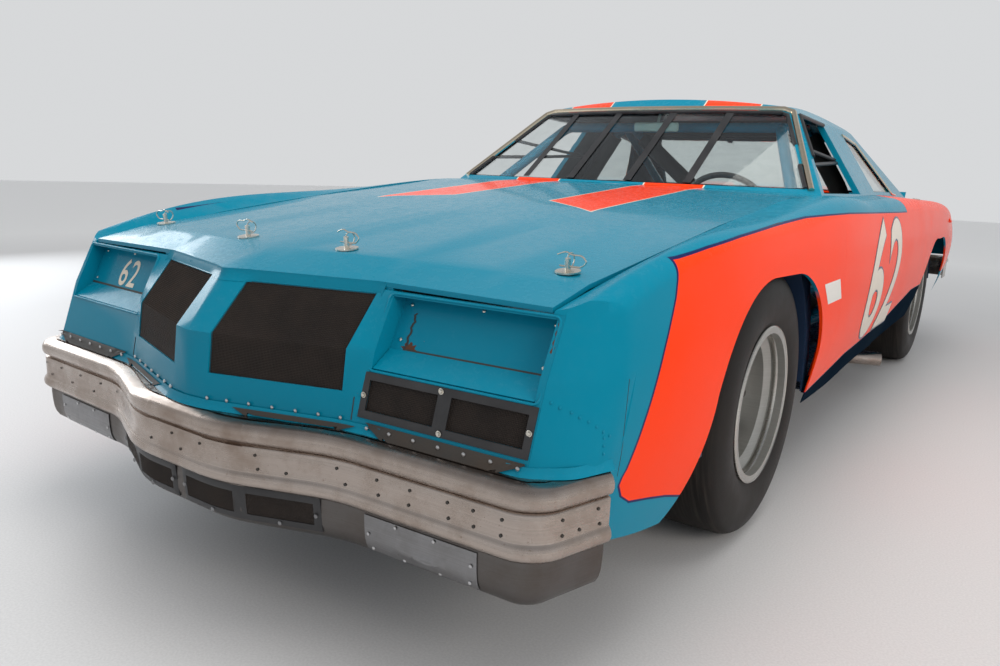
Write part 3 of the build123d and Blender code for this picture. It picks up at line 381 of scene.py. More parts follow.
# %% Paint film group
film_group, vector, clean, chips = new_group("paint_film", Vector=None, Colour=(1, 1, 1, 1), Chips=0.3)
fade = noise(vector, 2.3, 4.0, 0.6)
tinted = blend_colour(step_up(fade, 0.40, 0.75, 0.0, 0.02), clean, (0.30, 0.40, 0.45, 1))
scratch = noise(stretched(vector, (6, 4, 420), (0.5, 0.25, 0)), 3.0, 2.0)
scratched = blend_colour(step_up(scratch, 0.71, 0.77, 0.0, 0.03), tinted, (0.75, 0.80, 0.82, 1))
upward = axes(read(film_group, "NewGeometry", "Normal"))[2]
dust = step_up(noise(vector, 46.0, 5.0, 0.65), 0.42, 0.75) * step_up(upward, 0.1, 1.0)
dusty = blend_colour(dust * 0.025, scratched, (0.50, 0.45, 0.38, 1))
chip_limit = 0.83 - chips * (noise(vector, 5.0, 2.0) * 0.22)
chip = step_up(noise(vector, 95.0, 6.0, 0.62) - chip_limit, 0.0, 0.01)
rust_tone = blend_colour(step_up(noise(vector, 260.0), 0.4, 0.6), (0.09, 0.035, 0.018, 1), (0.22, 0.20, 0.19, 1))
close_group(film_group, Colour=blend_colour(chip, dusty, rust_tone),
            Roughness=step_up(noise(vector, 6.0, 3.0), 0.3, 0.7, 0.20, 0.26) + (dust * 0.14 + chip * 0.4),
            Height=noise(vector, 160.0, 2.0, 0.4) - chip * 1.4,
            Coat=0.30 - (chip * 0.30 + dust * 0.10))
PEEL_DEPTH = 0.000016
PAINT_SPECULAR = 0.12
CABIN_MIDDLE_Z = 0.45


def paint(name, pattern=None, ground=BLUE, chips=0.3, edge=NAVY, inner=BLUE, gloss=1.0):
    """Paint with a pattern also darkens or recolours the faces that look inward, towards the middle of the car."""
    material, shader, vector = new_material(name, Coat_Roughness=0.06, Coat_IOR=1.28,
                                            Specular_IOR_Level=PAINT_SPECULAR * gloss)
    colour, shine = ground, gloss
    if pattern:
        parts = use_group(pattern, Vector=vector)
        colour = blend_colour(parts["Line"], blend_colour(parts["Field"], ground, ORANGE), edge)
        # Painted shade: under the side field, between the wheels, the sill turns near black and loses its gloss.
        if "Sill" in parts:
            colour = blend_colour(parts["Sill"], colour, SILL_PAINTED_SHADE)
            shine = (1.0 - parts["Sill"]) * gloss
            plug(shine * PAINT_SPECULAR, shader.inputs["Specular IOR Level"])
        face_x, _, face_z = axes(read(vector.tree, "NewGeometry", "Normal"))
        x, _, z = axes(vector)
        outward = face_x * x + face_z * (z - CABIN_MIDDLE_Z)
        colour = blend_colour(step_up(outward, -0.14, -0.18), colour, inner)
    film = use_group(film_group, Vector=vector, Colour=colour, Chips=chips)
    plug(film["Coat"] * shine, shader.inputs["Coat Weight"])
    finish_shader(shader, film["Colour"], film["Roughness"], film["Height"], PEEL_DEPTH)
    return material


# Near black for the faces of the hood, roof, cowl and deck panels that look inward, towards the middle of the car.
INWARD_NEAR_BLACK = (0.010, 0.014, 0.022, 1)
BLUE_PAINT = paint("blue_paint", chips=0.8, gloss=0.7)
SIDE_PAINT = paint("side_paint", side_group, chips=0.25, gloss=0.3)
TOP_PAINT = paint("top_paint", band_group, chips=0.15, edge=CREAM, inner=INWARD_NEAR_BLACK)
NUMBER_PAINT = paint("number_paint", ground=CREAM, chips=0.35)
NAVY_PAINT = paint("navy_paint", ground=NAVY, chips=0.2)
WHITE_PAINT = paint("white_paint", ground=(0.78, 0.76, 0.72, 1), chips=0.6)
CAGE_PAINT = paint("cage_paint", ground=(0.0, 0.20, 0.34, 1), chips=0.9)
INNER_PAINT = paint("inner_paint", ground=(0.018, 0.035, 0.075, 1), chips=1.0)
MIRROR_SHELL = paint("mirror_shell", ground=(0.42, 0.58, 0.56, 1), chips=0.2, gloss=2.0)
print("paints ready")

# %% [markdown]
# ## Bare metal, rubber and glass
# The bumper is bare steel, brushed along its length and stained brown where water has stood. Steel, aluminium, chrome
# and cast iron share one group, which gives grain and stains, and each has its own colour and shine.

# %% Worn metal group and metals
metal_group, vector, bright, stain, stains, polish = new_group(
    "worn_metal", Vector=None, Metal=(1, 1, 1, 1), Stain=(0.2, 0.1, 0.05, 1), Stains=0.5, Polish=0.3)
grain = noise(stretched(vector, (3, 3, 700)), 1.0, 3.0)
cloud = noise(vector, 7.0, 6.0, 0.65)
spots = noise(vector, 120.0, 5.0, 0.7)
stained = stains * most(step_up(cloud, 0.42, 0.78), step_up(spots, 0.62, 0.74))
brushed = blend_colour(step_up(grain, 0.3, 0.7, 0.0, 0.14), bright, (0.08, 0.07, 0.06, 1))
close_group(metal_group, Colour=blend_colour(stained, brushed, stain),
            Roughness=polish + (stained * 0.25 + step_up(grain, 0.2, 0.8, 0.0, 0.12)),
            Height=grain + spots * 0.5)


def metal(name, colour, stain, stains, polish, metallic=1.0, bump=0.00006):
    material, shader, vector = new_material(name, Metallic=metallic)
    parts = use_group(metal_group, Vector=vector, Metal=colour, Stain=stain, Stains=stains, Polish=polish)
    finish_shader(shader, parts["Colour"], parts["Roughness"], parts["Height"], bump)
    return material


STEEL = metal("bumper_steel", (0.50, 0.43, 0.385, 1), (0.19, 0.115, 0.07, 1), 0.70, 0.17)
ALUMINIUM = metal("riveted_aluminium", (0.30, 0.30, 0.31, 1), (0.14, 0.13, 0.12, 1), 0.7, 0.25)
CHROME = metal("gold_chrome", (0.86, 0.74, 0.56, 1), (0.45, 0.30, 0.16, 1), 0.25, 0.10)
PIN_METAL = metal("pin_steel_wire", (0.80, 0.77, 0.70, 1), (0.45, 0.33, 0.15, 1), 0.35, 0.18)
RIM_FINISH = metal("wheel_satin", (0.46, 0.46, 0.44, 1), (0.30, 0.28, 0.25, 1), 0.35, 0.30, 0.75, 0.00002)
RIM_BRIGHT = metal("wheel_lip", (0.60, 0.58, 0.54, 1), (0.40, 0.36, 0.30, 1), 0.20, 0.16, 1.0, 0.00002)
CAST = metal("cast_iron", (0.10, 0.10, 0.10, 1), (0.12, 0.05, 0.02, 1), 0.7, 0.55, 0.6, 0.0003)
VALANCE_STEEL = metal("valance_steel", (0.145, 0.135, 0.13, 1), (0.09, 0.06, 0.04, 1), 0.6, 0.28)
RIVET_METAL = metal("rivet_aluminium", (0.66, 0.66, 0.67, 1), (0.30, 0.28, 0.25, 1), 0.35, 0.32)
RUST = metal("rust", (0.11, 0.040, 0.018, 1), (0.035, 0.016, 0.010, 1), 0.9, 0.75, 0.0, 0.0003)
DARK_STEEL = metal("dark_steel", (0.05, 0.048, 0.045, 1), (0.10, 0.06, 0.035, 1), 0.5, 0.5, 0.3, 0.0001)
print("metals ready")

# %% Rubber, fabric, plastic and glass
TREAD_FROM, TREAD_AT = 0.350, 0.368
RING_PITCH = 2600.0


def matt(name, colour, worn, scale, rough, bump, worn_share=0.5, sheen=0.0):
    material, shader, vector = new_material(name, Sheen_Weight=sheen)
    patch = noise(vector, scale, 5.0, 0.6)
    finish_shader(shader, blend_colour(step_up(patch, 0.35, 0.7, 0.0, worn_share), colour, worn),
                  step_up(patch, 0.3, 0.7, rough - 0.06, rough + 0.08), noise(vector, scale * 22.0), bump)
    return material


def tyre_rubber():
    material, shader, vector = new_material("slick_rubber", Specular_IOR_Level=0.25)
    _, y, z = axes(vector)
    flat, rise = least(abs(y - FRONT_AXLE_Y), abs(y - REAR_AXLE_Y)), z - AXLE_Z
    radius = calc("SQRT", flat * flat + rise * rise)
    tread = step_up(radius, TREAD_FROM, TREAD_AT)
    cloud = noise(vector, 9.0, 5.0, 0.6)
    scuff = noise(stretched(vector, (120, 5, 5)), 1.0, 4.0, 0.6)
    colour = blend_colour(step_up(cloud, 0.35, 0.7), (0.0075, 0.006, 0.0053, 1), (0.017, 0.0135, 0.0115, 1))
    colour = blend_colour(tread * step_up(scuff, 0.45, 0.7), colour, (0.034, 0.028, 0.024, 1))
    side_rings = (1.0 - tread) * (calc("SINE", radius * RING_PITCH) * 0.25)
    finish_shader(shader, colour, step_up(cloud, 0.3, 0.7, 0.46, 0.60) + tread * 0.14,
                  side_rings + noise(vector, 420.0), 0.00022)
    return material


def clear_glass(name, tint):
    material, shader, vector = new_material(name, Transmission_Weight=1.0, IOR=1.45, Roughness=0.0)
    tree = vector.tree
    smear = noise(stretched(vector, (3, 3, 9)), 4.0, 4.0, 0.6)
    plug(blend_colour(step_up(smear, 0.4, 0.75), tint + (1,), tuple(0.93 * c for c in tint) + (1,)),
         shader.inputs["Base Color"])
    plug(step_up(smear, 0.55, 0.8, 0.0, 0.05), shader.inputs["Roughness"])
    clear = add_node(tree, "BsdfTransparent", {"Color": tuple(0.9 * c for c in tint) + (1,)})
    mixed = add_node(tree, "MixShader", {0: read(tree, "LightPath", "Is Shadow Ray"), 1: Value(tree, shader.outputs[0]),
                                         2: Value(tree, clear.outputs[0])})
    plug(Value(tree, mixed.outputs[0]), tree.nodes["Material Output"].inputs["Surface"])
    return material


RUBBER = tyre_rubber()
BLACK_MESH = matt("black_mesh_wire", (0.030, 0.022, 0.018, 1), (0.075, 0.052, 0.040, 1), 20.0, 0.55, 0.0001)
DARK_CORE = matt("radiator_core", (0.016, 0.013, 0.012, 1), (0.048, 0.040, 0.036, 1), 9.0, 0.7, 0.0002)
BLACK_PLASTIC = matt("black_frame", (0.020, 0.020, 0.022, 1), (0.055, 0.055, 0.058, 1), 14.0, 0.42, 0.00008)
PADDING = matt("cage_padding", (0.022, 0.018, 0.016, 1), (0.045, 0.036, 0.030, 1), 18.0, 0.75, 0.0006, 0.6, 0.2)
SEAT_CLOTH = matt("seat_cloth", (0.020, 0.020, 0.022, 1), (0.040, 0.040, 0.044, 1), 30.0, 0.8, 0.0005, 0.6, 0.3)
LENS_RED = matt("lens_red", (0.30, 0.006, 0.006, 1), (0.20, 0.004, 0.004, 1), 12.0, 0.14, 0.00004)
GLASS = clear_glass("window_glass", (0.84, 0.89, 0.88))
print("rubber, cloth and glass ready")

# %% [markdown]
# ## Finishes for the carried-over solids
# Most panels already have the right shape, so they stay, and only get a finish. Their mesh is loose triangles, so a
# Weld modifier joins them and an Edge Split keeps the real folds crisp while curved sheet shades smooth.

# %% Dress the solids
CORNERS = ("front_left", "front_right", "rear_left", "rear_right")
FINISH = {
    BLUE_PAINT: ["nose_panel", "lamp_covers", "tail_panel"],
    TOP_PAINT: ["hood", "deck_lid", "cowl_panel", "rear_deck_panel", "roof_shell"],
    SIDE_PAINT: ["left_fender", "right_fender", "left_door", "right_door", "left_quarter", "right_quarter"],
    CAGE_PAINT: ["roll_cage", "dashboard"],
    INNER_PAINT: ["floor_pan", "wheel_houses", "firewall", "frame_rails"],
    STEEL: ["front_bumper", "front_valance", "rear_bumper", "exhaust_pipes"],
    DARK_CORE: ["mesh_screens"],
    GLASS: ["windshield", "rear_window", "quarter_windows"],
    BLACK_PLASTIC: ["window_braces", "steering_wheel", "fuel_cell", "mirror"],
    CAST: ["engine_block", "front_control_arms", "rear_axle", "left_knuckle", "right_knuckle"],
    LENS_RED: ["tail_lamps"],
    PIN_METAL: ["hood_pins"],
    DARK_STEEL: ["driver_seat"],
    RIM_FINISH: [corner + "_rim" for corner in CORNERS],
    RUBBER: [corner + "_tyre" for corner in CORNERS],
}
SMOOTH_ANGLE = math.radians(32)
WELD_WITHIN = 0.00002


def dress(piece, material):
    piece.data.materials.clear()
    piece.data.materials.append(material)


for material, names in FINISH.items():
    for name in names:
        dress(nodes[name], material)
for solid in nodes.values():
    solid.data.polygons.foreach_set("use_smooth", [True] * len(solid.data.polygons))
    solid.modifiers.new("join_triangles", "WELD").merge_threshold = WELD_WITHIN
    solid.modifiers.new("keep_folds", "EDGE_SPLIT").split_angle = SMOOTH_ANGLE
print(sum(len(s.data.polygons) for s in nodes.values()), "triangles dressed")

# %% [markdown]
# ## Making and placing new pieces
# Every new piece starts as a primitive, is shaped in edit mode, and ends with its place in its mesh. Rays shot at the
# solids find where a rivet, a screw or a wire sits, so nothing floats and nothing sinks. Places on the car are written
# in mm: across from the centre line, back from the front axle, and up from a level 28 mm above the floor.

# %% Placing tools
SIDES = ((1, "left"), (-1, "right"))
FORWARD = Vector((0, 1, 0))
AHEAD_Y, BEHIND_Y, BESIDE_X, ABOVE_Z = -1600, 4400, 1400, 1800
WIRE_PITCH, WIRE_THICK = 3.2, 0.0010
SLOT_OF = {
    BLUE_PAINT: "blue_paint", RUST: "blue_paint", INNER_PAINT: "dark_inner_paint", RIM_BRIGHT: "wheel_steel",
    BLACK_PLASTIC: "black_mesh", BLACK_MESH: "black_mesh", DARK_CORE: "black_mesh", MIRROR_SHELL: "black_mesh",
    PADDING: "seat_trim", SEAT_CLOTH: "seat_trim", NAVY_PAINT: "orange_paint", NUMBER_PAINT: "orange_paint",
    WHITE_PAINT: "orange_paint", SIDE_PAINT: "orange_paint",
}
surfaces = {}


def at_body(x, y, z):
    return Vector((x / 1000, y / 1000 + FRONT_AXLE_Y, z / 1000 + BODY_LIFT))


def body_xz(vertex):
    return vertex.co.x * 1000, (vertex.co.z - BODY_LIFT) * 1000


def all_clear():
    if bpy.context.mode != "OBJECT":
        bpy.ops.object.mode_set(mode="OBJECT")
    bpy.ops.object.select_all(action="DESELECT")


def settle(piece):
    all_clear()
    piece.select_set(True)
    bpy.context.view_layer.objects.active = piece
    bpy.ops.object.transform_apply(location=True, rotation=True, scale=True)


def bake(piece):
    settle(piece)
    for modifier in list(piece.modifiers):
        bpy.ops.object.modifier_apply(modifier=modifier.name)


def hit(names, start, direction):
    best = None
    for name in names:
        if name not in surfaces:
            surfaces[name] = skin_of(nodes[name])
        place, normal, _, distance = surfaces[name].ray_cast(start, direction)
        if place and (best is None or distance < best[2]):
            best = (place, normal if normal.dot(direction) < 0 else -normal, distance)
    return best


def skin_of(*pieces):
    vertices, faces = [], []
    for piece in pieces:
        start = len(vertices)
        vertices += [v.co.copy() for v in piece.data.vertices]
        faces += [[start + i for i in p.vertices] for p in piece.data.polygons]
    return BVHTree.FromPolygons(vertices, faces)


def front_hit(names, x, z):
    return hit(names, at_body(x, AHEAD_Y, z), FORWARD)


def side_hit(names, y, z, side=1):
    return hit(names, at_body(side * BESIDE_X, y, z), Vector((-side, 0, 0)))


def top_hit(names, x, y):
    return hit(names, at_body(x, y, ABOVE_Z), Vector((0, 0, -1)))


def join_all(pieces):
    all_clear()
    for piece in pieces:
        piece.select_set(True)
    bpy.context.view_layer.objects.active = pieces[0]
    if len(pieces) > 1:
        bpy.ops.object.join()
    return bpy.context.object


def finish_piece(piece, name, material, body="chassis", slot=None, smooth=35, stands_for=()):
    bake(piece)
    piece.name = piece.data.name = name
    dress(piece, material)
    bpy.ops.object.shade_smooth_by_angle(angle=math.radians(smooth))
    slot = slot or SLOT_OF.get(material, "bare_steel")
    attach(piece, body)
    for node in stands_for:
        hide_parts(node)
    print(name, len(piece.data.polygons), "faces")
    return piece


# %% [markdown]
# Edit mode is opened with everything selected and closed again, and two modifiers give a sheet its thickness and a
# piece its soft edges.

# %% Edit tools
def open_edit(kind=None):
    bpy.ops.object.mode_set(mode="EDIT")
    if kind:
        bpy.ops.mesh.select_mode(type=kind)
    bpy.ops.mesh.select_all(action="SELECT")


def close_edit():
    bpy.ops.object.mode_set(mode="OBJECT")
    return bpy.context.object


def extrude_by(step):
    bpy.ops.mesh.extrude_region_move(TRANSFORM_OT_translate={"value": step})


def thicken(piece, thickness, offset=-1.0):
    wall = piece.modifiers.new("sheet_thickness", "SOLIDIFY")
    wall.thickness, wall.offset = thickness, offset
    return piece


def soften(piece, width, segments):
    edge = piece.modifiers.new("soft_edges", "BEVEL")
    edge.width, edge.segments = width, segments


print("edit tools ready")

# %% [markdown]
# A rivet is a ball cut in half and flattened. A line is a single point drawn out step by step, with its corners
# rounded, and a tube is such a line given a thickness. A grid of fine squares laid over a window becomes a wire screen.

# %% Rivets, tubes and screens
def rivet_head(radius, height):
    all_clear()
    bpy.ops.mesh.primitive_uv_sphere_add(segments=10, ring_count=6, radius=radius)
    open_edit()
    bpy.ops.mesh.bisect(plane_co=(0, 0, 0), plane_no=(0, 0, 1), clear_inner=True)
    bpy.ops.mesh.select_all(action="SELECT")
    bpy.ops.transform.resize(value=(1, 1, height / radius))
    return close_edit()


def bevelled_disc(sides, radius, depth, height, bevel):
    all_clear()
    bpy.ops.mesh.primitive_cylinder_add(vertices=sides, radius=radius, depth=depth, location=(0, 0, height))
    open_edit()
    bpy.ops.mesh.bevel(offset=bevel, segments=1)
    return close_edit()


def bolt_head(radius, height):
    head = bevelled_disc(6, radius, height, height / 2 + 0.001, radius * 0.14)
    return join_all([head, bevelled_disc(18, radius * 1.5, 0.0016, 0.0008, 0.0004)])


def scatter(model, places):
    """Places are pairs of a point and the way its head looks, and an empty one is a ray that met nothing."""
    settle(model)
    copies = []
    for found in filter(None, places):
        piece = model.copy()
        piece.data = model.data.copy()
        piece.matrix_world = Matrix.Translation(found[0]) @ found[1].to_track_quat("Z", "Y").to_matrix().to_4x4()
        bpy.context.collection.objects.link(piece)
        copies.append(piece)
    bpy.data.objects.remove(model)
    return join_all(copies)


def rivets(radius, height, places, name, material):
    finish_piece(scatter(rivet_head(radius, height), places), name, material)


def drawn_line(points, rounding=0.0, segments=4, closed=False):
    all_clear()
    bpy.ops.mesh.primitive_plane_add(size=0.01)
    open_edit("VERT")
    bpy.ops.mesh.merge(type="CENTER")
    bpy.ops.transform.translate(value=points[0])
    path = points + points[:1] if closed else points
    for start, stop in zip(path, path[1:]):
        extrude_by(Vector(stop) - Vector(start))
    if closed:
        bpy.ops.mesh.select_all(action="SELECT")
        bpy.ops.mesh.remove_doubles(threshold=0.00001)
    piece = close_edit()
    if rounding:
        rounder = piece.modifiers.new("round_corners", "BEVEL")
        rounder.affect, rounder.limit_method = "VERTICES", "NONE"
        rounder.width, rounder.segments = rounding, segments
        bpy.ops.object.modifier_apply(modifier="round_corners")
    return piece


def tube(points, radius, rounding=0.0, closed=False, sides=2, segments=4):
    drawn_line(points, rounding, segments, closed)
    bpy.ops.object.convert(target="CURVE")
    curve = bpy.context.object
    curve.data.bevel_depth = radius
    curve.data.bevel_resolution = sides
    curve.data.use_fill_caps = True
    bpy.ops.object.convert(target="MESH")
    return bpy.context.object


def upright_grid(x_low, x_high, z_low, z_high, pitch):
    all_clear()
    columns, rows = max(1, round((x_high - x_low) / pitch)), max(1, round((z_high - z_low) / pitch))
    bpy.ops.mesh.primitive_grid_add(x_subdivisions=columns, y_subdivisions=rows, size=1, rotation=(math.pi / 2, 0, 0),
                                    location=at_body((x_low + x_high) / 2, AHEAD_Y, (z_low + z_high) / 2))
    grid = bpy.context.object
    grid.scale = ((x_high - x_low) / 1000, (z_high - z_low) / 1000, 1)
    settle(grid)
    return grid


def mirrored_span(side, x_low, x_high):
    return sorted((side * x_low, side * x_high))


def side_grid(side, x_low, x_high, z_low, z_high, pitch):
    return upright_grid(*mirrored_span(side, x_low, x_high), z_low, z_high, pitch)


def lay_on(piece, names, gap):
    for vertex in piece.data.vertices:
        found = hit(names, vertex.co - FORWARD, FORWARD)
        if found:
            vertex.co = found[0] - FORWARD * gap
    return piece


def stand_before(piece, face_y, out):
    for vertex in piece.data.vertices:
        vertex.co.y = at_body(0, face_y(*body_xz(vertex)) - out, 0).y
    return piece


def wires(piece):
    mesher = piece.modifiers.new("wires", "WIREFRAME")
    mesher.thickness = WIRE_THICK
    mesher.use_even_offset = False
    mesher.use_boundary = True
    return piece


print("tools ready")

# %% [markdown]
# ## Wire screens
# The two grilles are wire with a pitch of about 3 mm, bent over the knee of the nose and set just behind its skin. The
# solid screen stays behind them as the dark core of the radiator.

# %% Grille screens
GRILLE = (60.5, 360.5, 508.5, 694.5)


def wire_screen(grid, gap, name):
    finish_piece(wires(lay_on(grid, ["mesh_screens"], gap)), name, BLACK_MESH)


for side, label in SIDES:
    wire_screen(side_grid(side, *GRILLE, WIRE_PITCH), 0.0025, label + "_grille_wires")

# %% [markdown]
# ## Brake-duct intake under the left lamp panel
# A black frame stands proud of the skin, with a bar in the middle, a wire screen behind both panes and four screws. It
# is one plate whose two panes are inset and cut out.

# %% Intake frame
FACE_LEVELS = (447, 592, 703)
FACE_INNER = (-1082, -1044, -988)
FACE_OUTER = (-1062, -1015, -961)
FACE_START, FACE_WIDTH = 412, 378
FRAME_RIM, FRAME_STEP, FRAME_THICK, FRAME_EDGE = 15, 22, 0.004, 0.0009


def lamp_face(x, z):
    """The skin round the lamps: y in mm over x and z, from six measured points of the nose panel."""
    row = 0 if z < FACE_LEVELS[1] else 1
    rise = (z - FACE_LEVELS[row]) / (FACE_LEVELS[row + 1] - FACE_LEVELS[row])
    inner = FACE_INNER[row] + rise * (FACE_INNER[row + 1] - FACE_INNER[row])
    outer = FACE_OUTER[row] + rise * (FACE_OUTER[row + 1] - FACE_OUTER[row])
    return inner + (abs(x) - FACE_START) / FACE_WIDTH * (outer - inner)


def cut_upright(x):
    bpy.ops.mesh.select_all(action="SELECT")
    bpy.ops.mesh.bisect(plane_co=at_body(x, 0, 0), plane_no=(1, 0, 0))


def paned_frame(x_low, x_high, z_low, z_high, face_y, proud=1.0):
    frame_plate = upright_grid(x_low, x_high, z_low, z_high, 1000)
    open_edit()
    cut_upright((x_low + x_high) / 2)
    bpy.ops.mesh.select_mode(type="FACE")
    bpy.ops.mesh.select_all(action="SELECT")
    bpy.ops.mesh.inset(thickness=FRAME_RIM / 1000, use_individual=True, use_boundary=True)
    bpy.ops.mesh.delete(type="FACE")
    steps = max(2, round((x_high - x_low) / FRAME_STEP))
    for step in range(1, steps):
        cut_upright(x_low + (x_high - x_low) * step / steps)
    close_edit()
    thicken(stand_before(frame_plate, face_y, proud), FRAME_THICK, 0)
    soften(frame_plate, FRAME_EDGE, 2)
    return frame_plate


INTAKE = (401, 787, 463, 551)
INTAKE_PANES = (412.5, 775.5, 476.5, 537.5)
INTAKE_SCREWS = [(408, 507), (585, 544), (598, 470), (780, 507)]
finish_piece(paned_frame(*INTAKE, lamp_face), "left_intake_frame", BLACK_PLASTIC)
wire_screen(upright_grid(*INTAKE_PANES, WIRE_PITCH), 0.0030, "left_intake_wires")
screw_places = [(at_body(x, lamp_face(x, z) - 3.2, z), -FORWARD) for x, z in INTAKE_SCREWS]
finish_piece(scatter(bolt_head(0.0042, 0.003), screw_places), "left_intake_screws", PIN_METAL)

# %% [markdown]
# ## Lamp panels
# Headlamps are not fitted for racing. Each recess is closed by a plate, and a thin bead is rolled into the skin all
# round its mouth. Small rivets hold the plate, whose foot steps forward in a narrow shelf.

# %% Lamp recess beads, rivets and shelves
BEAD_CORNERS = [(404, 553), (784, 553), (784, 700), (404, 700)]
COVER_RIVETS = [(432, 676), (756, 678), (600, 684), (432, 610), (756, 604)]
SHELF_TOP, SHELF_FOOT = 590, 557

for side, label in SIDES:
    loop = [at_body(side * x, lamp_face(x, z) - 0.4, z) for x, z in BEAD_CORNERS]
    finish_piece(tube(loop, 0.0026, 0.012, closed=True), label + "_lamp_bead", BLUE_PAINT)
cover_places = [front_hit(["lamp_covers"], side * x, z) for side, _ in SIDES for x, z in COVER_RIVETS]
rivets(0.0042, 0.0020, cover_places, "lamp_cover_rivets", PIN_METAL)
for side, label in SIDES:
    drawn_line([front_hit(["lamp_covers"], side * x, SHELF_TOP)[0] for x in (414, 774)])
    open_edit()
    extrude_by((0, -0.02, (SHELF_FOOT - SHELF_TOP) / 1000))
    shelf = close_edit()
    for vertex in shelf.data.vertices:
        if vertex.co.z < at_body(0, 0, SHELF_TOP - 5).z:
            vertex.co.y = at_body(0, lamp_face(vertex.co.x * 1000, SHELF_FOOT) + 2, 0).y
    open_edit()
    bpy.ops.mesh.subdivide(number_cuts=12, smoothness=0)
    finish_piece(thicken(close_edit(), 0.002), label + "_lamp_shelf", BLUE_PAINT)

# %% [markdown]
# A dark gap has opened above each shelf. On the left plate a crack climbs from its inner corner, with a blot of rust
# at its foot, and the outer rim of that recess has rusted too.

# %% Gaps, crack and rust
BLOT_MIDDLE = at_body(458, AHEAD_Y, 596)

for side, label in SIDES:
    strip = lay_on(side_grid(side, 452, 773, 588.0, 594.5, 4), ["lamp_covers"], 0.0006)
    finish_piece(strip, label + "_shelf_gap", DARK_STEEL)
crack = upright_grid(447, 452, 590, 662, 4)
for vertex in crack.data.vertices:
    z = vertex.co.z * 1000
    vertex.co.x += 0.0022 * math.sin(z * 0.31) + 0.0012 * math.sin(z * 0.83 + 1.0)
finish_piece(lay_on(crack, ["lamp_covers"], 0.0007), "left_corner_crack", DARK_STEEL)
worn_rim = upright_grid(781, 785, 640, 690, 3)
for vertex in worn_rim.data.vertices:
    vertex.co.x += 0.0016 * math.sin(vertex.co.z * 410)
finish_piece(lay_on(worn_rim, ["nose_panel", "left_fender"], 0.0005), "left_rim_rust", RUST)
all_clear()
bpy.ops.mesh.primitive_circle_add(vertices=22, radius=0.013, fill_type="TRIFAN", rotation=(math.pi / 2, 0, 0),
                                  location=BLOT_MIDDLE)
blot = bpy.context.object
settle(blot)
for index, vertex in enumerate(blot.data.vertices):
    spoke = vertex.co - BLOT_MIDDLE
    vertex.co = BLOT_MIDDLE + Vector((spoke.x * 1.25, spoke.y, spoke.z * 0.8)) * (1 + 0.32 * math.sin(index * 2.3))
finish_piece(lay_on(blot, ["lamp_covers"], 0.0004), "left_corner_rust", RUST)
print("lamp panels ready")

# %% [markdown]
# ## Lip under the grilles
# The skin turns down to the bumper in a narrow blue lip. Black rubber closes what is left of the gap, and shows as
# long lens shapes with a row of bright rivets: two under the grilles and two under the lamp panels.

# %% Sweeping along a plan line
def ordered_line(mesh):
    links = {}
    for edge in mesh.edges:
        a, b = edge.vertices
        links.setdefault(a, []).append(b)
        links.setdefault(b, []).append(a)
    here = min((i for i in links if len(links[i]) == 1), key=lambda i: mesh.vertices[i].co.x)
    order, seen = [here], {here}
    while True:
        following = [i for i in links[order[-1]] if i not in seen]
        if not following:
            return [mesh.vertices[i].co.copy() for i in order]
        order.append(following[0])
        seen.add(following[0])


def plan_key(point):
    return round(point.x, 5), round(point.y, 5)


def swept_sheet(plan, rows, rounding, thickness):
    """Each row is a height in mm and how far it stands out from the plan line in mm."""
    sheet = drawn_line([at_body(x, y, rows[0][0]) for x, y in plan], rounding, 6)
    line = ordered_line(sheet.data)
    runs = [(line[min(i + 1, len(line) - 1)] - line[max(i - 1, 0)]).normalized() for i in range(len(line))]
    normals = [Vector((run.y, -run.x, 0)) for run in runs]
    if sum(normal.y for normal in normals) > 0:
        normals = [-normal for normal in normals]
    normal_at = {plan_key(point): normal for point, normal in zip(line, normals)}
    open_edit()
    for above, below in zip(rows, rows[1:]):
        extrude_by((0, 0, (below[0] - above[0]) / 1000))
    close_edit()
    heights = [at_body(0, 0, z).z for z, _ in rows]
    for vertex in sheet.data.vertices:
        row = min(range(len(rows)), key=lambda r: abs(heights[r] - vertex.co.z))
        vertex.co = vertex.co + normal_at[plan_key(vertex.co)] * rows[row][1] / 1000
    return thicken(sheet, thickness)


# %% Blue lip, rubber and rivets
LIP_PLAN = [(-879, -925), (-848, -1012), (-790, -1063), (-412, -1083), (-361, -1091), (-60, -1185), (0, -1191),
            (60, -1185), (361, -1091), (412, -1083), (790, -1063), (848, -1012), (879, -925)]
LIP_ROWS = [(452, 1.5), (445, 4), (439, 8), (434, 12)]
LENSES = ((130, 408, 429, 447), (424, 792, 427, 457))
LIP_RIVETS = [66, 112, 163, 216, 268, 318, 366]
LENS_RIVETS = [436, 492, 550, 607, 664, 721, 776]
LIP_RIVET_Z, LENS_RIVET_Z = 456, 449
LIP_Y, RUBBER_OUT, RIVET_OUT = -1070, 0.0036, 0.0034
lip = finish_piece(swept_sheet(LIP_PLAN, LIP_ROWS, 0.018, 0.0015), "nose_lip", BLUE_PAINT)
lip_skin = skin_of(lip, nodes["nose_panel"])


def lens_strip(x_low, x_high, z_low, z_high):
    strip = upright_grid(x_low, x_high, z_low, z_high, 8)
    low, high = at_body(x_low, 0, z_low), at_body(x_high, 0, z_high)
    for vertex in strip.data.vertices:
        share = (vertex.co.x - low.x) / (high.x - low.x)
        fullness = min(1.0, 5.0 * share, 5.0 * (1 - share))
        vertex.co.z = high.z - (high.z - vertex.co.z) * fullness
        found = lip_skin.ray_cast(Vector((vertex.co.x, -4.0, vertex.co.z)), FORWARD)
        vertex.co.y = (found[0].y if found[0] else at_body(0, LIP_Y, 0).y) - RUBBER_OUT
    return strip


